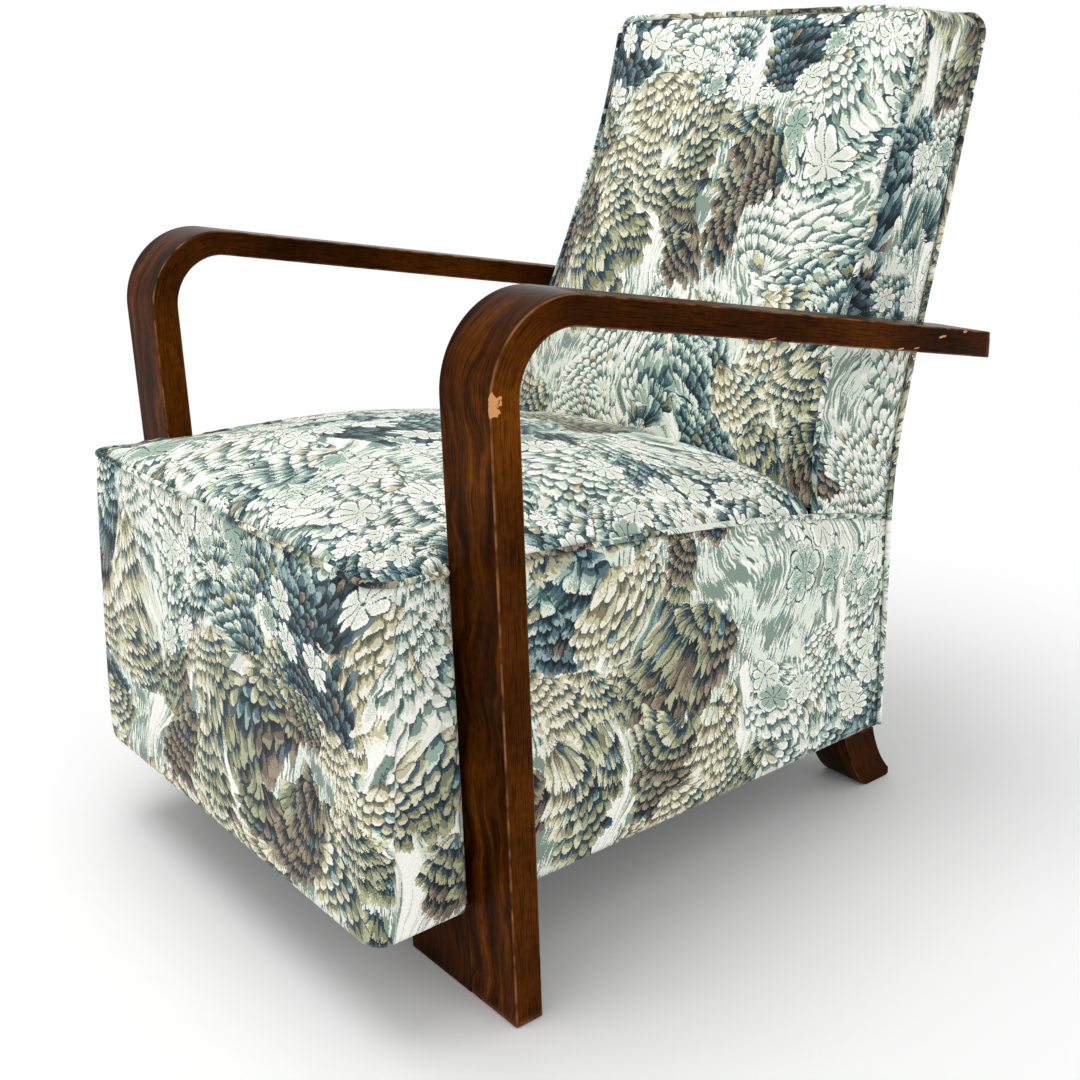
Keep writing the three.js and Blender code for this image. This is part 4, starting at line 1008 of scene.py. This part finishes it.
def welt(name, route, node, offset):
    # a round section along the route, whose radius swells and shrinks with two sine waves
    way = runAlong(route)
    run = np.linspace(0, way[-1], int(way[-1] / piping["step"]))
    path = np.column_stack([np.interp(run, way, route[:, k]) for k in range(3)])
    print(name, "length", round(run[-1], 3), "m")
    turns = np.linspace(0, 2 * np.pi, piping["sides"], endpoint=False)
    section = piping["radius"] * np.column_stack([np.cos(turns), np.sin(turns)])
    lumps = 1 + 0.035 * np.sin(run * 260) + 0.03 * np.sin(run * 97 + 1.3)
    rings = path[:, None] + carried(path, section) * lumps[:, None, None]
    seat(tube(name, rings, run, piping["radius"] * turns, (offset, 0.4), pipingCloth), "piping", node)


def seatWelt():
    corner, level = box["cornerRound"], box["frontHead"]
    y = boxPlan(0.005)[0]
    y = y[y > level + corner]
    x = coverHalfAt(y) - box["drawIn"] - (piping["radius"] - box["drawIn"] * 0.5) * pinchAt(y)
    turned = quarterRound(boxHalfAt(level) - corner, level + corner, corner - box["drawIn"], side=-1)
    plan = mirrored(np.concatenate([np.column_stack([x, y]), turned]))
    welt("seat_welt", np.column_stack([plan, sideTopAt(plan[:, 1])]), "seat_piping", 6.2)


def uprightWelt(name, z, halfAt, depthAt, node, offset):
    # up the side at the heights z, round the corner, over the top and down again
    x, radius = halfAt(z), back["cornerRound"]
    turned = quarterRound(x[-1] - radius, z[-1], radius)
    x, z = mirrored(np.concatenate([np.column_stack([x, z]), turned])).T
    welt(name, np.column_stack([x, depthAt(z), z]), node, offset)


def seamHalfAt(z):
    return backHalfAt(seamAt(z), z)


seatWelt()
seamRise = np.linspace(sideTopAt(back["seamFootY"]) + 2 * pipingInset, cornerFoot, 60)
uprightWelt("back_welt", seamRise, seamHalfAt, seamAt, "back_piping", 6.9)
boxRise = np.linspace(bottomAt(box["rear"]) + 0.003, box["topRear"], 20)
rearRise = np.linspace(box["topRear"], rearTop - back["cornerRound"], 60)
outsideRise = np.concatenate([boxRise, rearRise[1:]])
uprightWelt("outside_welt", outsideRise, rearHalfAt, outsideAt, "outside_piping", 8.272)
print("welts made")

# Arm boards and feet: a section with eased edges carried between two outlines
arm = {
    "height": 0.667, "slope": 0.13 / 0.641, "reach": 0.641, "thick": 0.0265, "legThick": 0.030,
    "bendOuter": 0.080, "bendInner": 0.052, "ease": 0.0022,
}
board = {"edgeSteps": 4, "besideEdge": 0.002, "endEase": 0.7, "endWear": 0.8}


def boardSection(halfWidth, ease, wearShare):
    # each point: place across, which side of the board's middle, way off that side, wear and edgeFace. The
    # edges are quarter circles of radius ease. wear is sin(2 turn) round each, and edgeFace marks the two
    # narrow sides
    steps, beside = board["edgeSteps"], board["besideEdge"]
    section = []
    for start, (sx, sy) in enumerate([(1, 1), (-1, 1), (-1, -1), (1, -1)]):
        for k in range(steps + 1):
            turn = (start + k / steps) * math.pi / 2
            across, off = sx * (halfWidth - ease) + ease * math.cos(turn), ease * (math.sin(turn) - sy)
            section.append((across, sy, off, wearShare * math.sin(math.pi * k / steps), abs(math.cos(turn))))
        for end in (-1, 1):
            # a point just inside each flat keeps the marks beside the edges sharp
            if start % 2 == 0:
                section.append((end * (halfWidth - ease - beside), sy, 0.0, 0.0, 0.0))
            else:
                section.append((sx * halfWidth, end, -end * (ease + beside), 0.0, 1.0))
    return np.array(section)


def bentBoard(name, outer, inner, sideBox, ease, material, node, wearShare=1.0):
    # outer and inner are matching points in (y, z); sideBox gives the board's place and width in x
    low, high = sideBox
    middleX, halfWidth = (low.x + high.x) / 2, (high.x - low.x) / 2
    middle = (outer + inner) / 2
    thick = np.linalg.norm(outer - inner, axis=1)
    normal = ((outer - inner) / thick[:, None])[:, None]
    section = boardSection(halfWidth, ease, wearShare)
    # sort the section round its middle
    height = section[:, 1] * 0.5 + section[:, 2] / np.median(thick)
    order = np.argsort(np.arctan2(height, section[:, 0] / (2 * halfWidth)))
    across, signs, offsets, wear, narrow = section[order].T
    depth = signs * thick[:, None] / 2 + offsets
    places = middle[:, None] + normal * depth[..., None]
    rings = gridOf(middleX + across, places[..., 0], places[..., 1])
    marks = np.repeat(wear[None], len(middle), axis=0)
    run = runAlong(middle)
    # both ends are eased too: the last ring moves in, and a smaller one closes it
    ends = []
    endEase = board["endEase"] * ease
    for edge, toward in ((0, 1), (-1, -2)):
        centre = rings[edge].mean(0)
        small = centre + (rings[edge] - centre) * (1 - endEase / min(halfWidth, thick[edge] / 2))
        step = rings[toward].mean(0) - centre
        ends.append([small, rings[edge] + step / np.linalg.norm(step) * endEase])
    rings = np.concatenate([ends[0], rings[1:-1], ends[1][::-1]])
    run = np.concatenate([run[:1], run[:1] + 0.001, run[1:-1], run[-1:] - 0.001, run[-1:]])
    rim = np.full((2, len(wear)), wearShare * board["endWear"])
    marks = np.concatenate([rim, marks[1:-1], rim])
    around = runAlong(rings[len(rings) // 2])
    marked = {"wear": marks, "edgeFace": np.repeat(narrow[None], len(rings), axis=0)}
    window = (middleX * 3 + 1.0, middleX * 5 + 2.0)
    seat(tube(name, rings, run, around, window, material, "grain", marked), "walnut", node)


def armOutlines():
    a = arm
    drop = a["thick"] * math.hypot(1, a["slope"])
    sweep = np.linspace(0, math.pi / 2 + math.atan(a["slope"]), 40)

    def outline(cornerY, cornerZ, radius):
        # up the vertical line y = cornerY, round a circle that touches it and the armrest's line
        # z = cornerZ - slope * y, and down that line to the end
        y = cornerY + radius
        z = cornerZ - a["slope"] * y - radius * math.hypot(1, a["slope"])
        bend = np.column_stack([y - radius * np.cos(sweep), z + radius * np.sin(sweep)])
        leg = lerp(np.array([[cornerY, 0.0]]), bend[:1], np.linspace(0, 1, 60)[:-1, None])
        end = np.array([[a["reach"], cornerZ - a["slope"] * a["reach"]]])
        return np.concatenate([leg, bend, lerp(bend[-1:], end, np.linspace(0, 1, 70)[1:, None])])

    inner = outline(a["legThick"], a["height"] - drop, a["bendInner"])
    return outline(0.0, a["height"], a["bendOuter"]), inner


# One chip by the near board's bend and nicks along its armrest: place from the leg's front, and reach
nearChips = [
    ((0.3400, 0.0000, 0.5735), (0.0024, 0.0105, 0.0110)),
    ((0.3400, 0.5605, 0.5441), (0.0020, 0.0065, 0.0013)),
    ((0.3400, 0.5971, 0.5438), (0.0020, 0.0040, 0.0012)),
    ((0.3400, 0.4954, 0.5417), (0.0020, 0.0060, 0.0009)),
    ((0.3400, 0.5202, 0.5388), (0.0020, 0.0040, 0.0008)),
    ((0.3400, 0.3131, 0.5787), (0.0020, 0.0050, 0.0008)),
    ((0.3400, 0.6410, 0.5330), (0.0030, 0.0030, 0.0040)),
    ((0.3180, 0.6410, 0.5110), (0.0060, 0.0020, 0.0020)),
]
nearSpots = [((x, legFront + y, z), reach) for (x, y, z), reach in nearChips]
nearWood = makeStainedWood("walnut-stained beech near", nearSpots)
stainedWood = makeStainedWood("walnut-stained beech")
# a darkened copy of the stained wood for the foot blocks and sabre feet: painted shade
footWoodPaintedShade = makeStainedWood("walnut-stained beech, painted shade", (), 0.52)
armLines = armOutlines()
bentBoard("arm_board_left", *armLines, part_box("arm_left"), arm["ease"], nearWood, "arm_left")
bentBoard("arm_board_right", *armLines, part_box("arm_right"), arm["ease"], stainedWood, "arm_right")


# Foot block beside each leg: straight up to the sloping frame
block = {"steps": 24, "ease": 0.0012, "wear": 0.2}


def footBlock(side):
    low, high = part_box("foot_block_" + side)
    shares = np.linspace(0, 1, block["steps"])
    lines = [np.column_stack([np.full_like(shares, y), shares * (bottomAt(y) - box["clear"])])
             for y in (low.y - legFront, high.y - legFront)]
    bentBoard("foot_" + side, *lines, (low, high), block["ease"], footWoodPaintedShade, "foot_block_" + side,
              block["wear"])


# Sabre foot: setIn is from the box's rear, and rake is how far the heel stands behind the foot's top
sabre = {
    "setIn": 0.006, "topWidth": 0.050, "rake": 0.034, "heelRound": 0.007, "toeWidth": 0.036, "ease": 0.0014,
}


def sabreFoot(side):
    rearY = box["rear"] - sabre["setIn"]
    frontY = rearY - sabre["topWidth"]
    heel, heelRound = rearY + sabre["rake"], sabre["heelRound"]
    toe = heel - sabre["toeWidth"] - heelRound
    frontZ, rearZ = bottomAt(frontY) - box["clear"], bottomAt(rearY) - box["clear"]
    t = np.linspace(0, 1, 22)[1:, None]

    def curve(a, b, c):
        # quadratic curve: (1-t)^2 a + 2t(1-t) b + t^2 c
        return (1 - t) ** 2 * np.array(a) + 2 * t * (1 - t) * np.array(b) + t ** 2 * np.array(c)

    front = curve((toe, 0.0), (lerp(frontY, toe, 0.45), frontZ * 0.22), (frontY, frontZ))
    rear = curve((heel, heelRound), (lerp(rearY, heel, 0.28), rearZ * 0.45), (rearY, rearZ))
    front = np.concatenate([[(toe, 0.0), (toe - 0.0003, 0.0008)], front])
    rear = np.concatenate([[(heel - heelRound, 0.0), (heel - heelRound * 0.3, heelRound * 0.3)], rear])
    bentBoard("rear_foot_board_" + side, front, rear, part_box("rear_foot_" + side), sabre["ease"], footWoodPaintedShade,
              "rear_foot_" + side)


# Turned distance pieces between the arms and the back: eased at both ends, a little waisted
spacer = {"radius": 0.0122, "waist": 0.0012, "ease": 0.0015, "sides": 40, "narrow": 0.8}


def armSpacer(side):
    low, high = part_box("arm_spacer_" + side)
    inner, outer = sorted((abs(low.x), abs(high.x)))
    turn = np.linspace(0, math.pi / 2, 5)
    e, r = spacer["ease"], spacer["radius"]
    middle = np.linspace(0, 1, 9)[1:-1]
    # quarter circles of radius e at both ends, and half a sine wave between them for the waist
    rounding, rounded = e * (1 - np.sin(turn)), r - e * (1 - np.cos(turn))
    along = np.concatenate([inner + rounding[::-1], lerp(inner + e, outer - e, middle), outer - rounding])
    waist = r - spacer["waist"] * np.sin(math.pi * middle)
    radius = np.concatenate([rounded[::-1], waist, rounded])[:, None]
    around = np.linspace(0, 2 * math.pi, spacer["sides"], endpoint=False)
    rings = gridOf(math.copysign(1, low.x) * along[:, None],
                   (low.y + high.y) / 2 - legFront + radius * np.cos(around),
                   (low.z + high.z) / 2 + radius * np.sin(around))
    plain = np.zeros(rings.shape[:2])
    piece = tube("arm_distance_" + side, rings, along, r * around, (4.0, 3.0), stainedWood, "grain",
                 {"wear": plain, "edgeFace": plain + spacer["narrow"]})
    seat(piece, "beech", "arm_spacer_" + side)


for make in (footBlock, sabreFoot, armSpacer):
    for side in ("left", "right"):
        make(side)
print("arms and feet made")

# Hidden CAD nodes keep their shape and take their finish
for part in frame["record"]["subparts"]:
    holder = frame["nodes"][part["node"]]
    if part["material_slot"] in finishes:
        holder.data.materials.clear()
        holder.data.materials.append(finishes[part["material_slot"]])

# Stage, light and camera
stage = {
    "floor": "#fafafa", "worldStrength": 0.62, "reach": 12.0, "paperFrom": 0.42, "paperTo": 1.10,
    "lampAim": (0, 0, 0.4),
}
view = {"at": (1.2228, -0.6406, 0.8423), "yaw": 52.19, "pitch": -19.16, "roll": -1.92, "lens": 48.62}
lamps = [
    {"name": "overhead", "at": (-0.5, -0.5, 3.0), "size": 2.2, "watts": 42},
    {"name": "front fill", "at": (-0.4, -3.2, 1.3), "size": 2.2, "watts": 17},
    {"name": "side fill", "at": (3.2, 0.2, 1.1), "size": 2.2, "watts": 24},
]


def seenStraight(node):
    # 1 for rays that show a surface as such, 0 for those that light the others
    path = node("LightPath")
    seen = node("MAXIMUM", [(path, "Is Camera Ray"), (path, "Is Glossy Ray")])
    return node("MAXIMUM", [seen, (path, "Is Transmission Ray")])


def makeStage():
    mesh = bpy.data.meshes.new("floor")
    r = stage["reach"]
    mesh.from_pydata([(-r, -r, 0), (r, -r, 0), (r, r, 0), (-r, r, 0)], [], [(0, 1, 2, 3)])
    # matt white paper: near the chair it takes the light and the shadow, and further off it shows plain white
    material, node, shade = newMaterial("pale studio paper")
    shade({"Base Color": toLinear(stage["floor"]), "Roughness": 0.9, "Specular IOR Level": 0.1})
    distance = node("VectorMath LENGTH", [(node("TexCoord"), "Object")])
    far = node("MapRange", [(distance, "Value"), stage["paperFrom"], stage["paperTo"]],
               interpolation_type="SMOOTHSTEP")
    white = node("MULTIPLY", [far, seenStraight(node)])
    glow = node("Emission", {"Strength": 1.0})
    tree = material.node_tree
    blend = node("MixShader", [white, (tree.nodes["Principled BSDF"], "BSDF"), glow])
    feed(tree, tree.nodes["Material Output"], {"Surface": blend})
    mesh.materials.append(material)
    newObject("floor", mesh)
    world = bpy.data.worlds.new("studio")
    scene.world = world
    world.use_nodes = True
    tree = world.node_tree
    node = partial(addNode, tree)
    strength = node("MapRange", [seenStraight(node), 0.0, 1.0, stage["worldStrength"], 1.0])
    feed(tree, tree.nodes["Background"], {"Color": (1, 1, 1, 1), "Strength": strength})


def makeLamps():
    for lamp in lamps:
        light = bpy.data.lights.new(lamp["name"], "AREA")
        light.shape = "DISK"
        light.size = lamp["size"]
        light.energy = lamp["watts"]
        holder = newObject(lamp["name"], light)
        holder.location = lamp["at"]
        aim = Vector(stage["lampAim"]) - Vector(lamp["at"])
        holder.rotation_euler = aim.to_track_quat("-Z", "Y").to_euler()


def makeCamera():
    # forward from yaw and pitch, then the roll turns the right and up directions
    yaw, pitch, roll = (math.radians(view[key]) for key in ("yaw", "pitch", "roll"))
    forward = Vector((-math.sin(yaw) * math.cos(pitch), math.cos(yaw) * math.cos(pitch), math.sin(pitch)))
    level = forward.cross(Vector((0, 0, 1))).normalized()
    raised = level.cross(forward)
    right = math.cos(roll) * level + math.sin(roll) * raised
    up = -math.sin(roll) * level + math.cos(roll) * raised
    camera = bpy.data.cameras.new("camera")
    camera.sensor_width = 36
    camera.lens = view["lens"]
    holder = newObject("camera", camera)
    turn = Matrix((right, up, -forward)).transposed()
    place = Vector(view["at"]) + Vector((0, legFront, 0))
    holder.matrix_world = Matrix.Translation(place) @ turn.to_4x4()
    scene.camera = holder


makeStage()
makeLamps()
makeCamera()
scene.view_settings.view_transform = "Standard"
print("stage made")
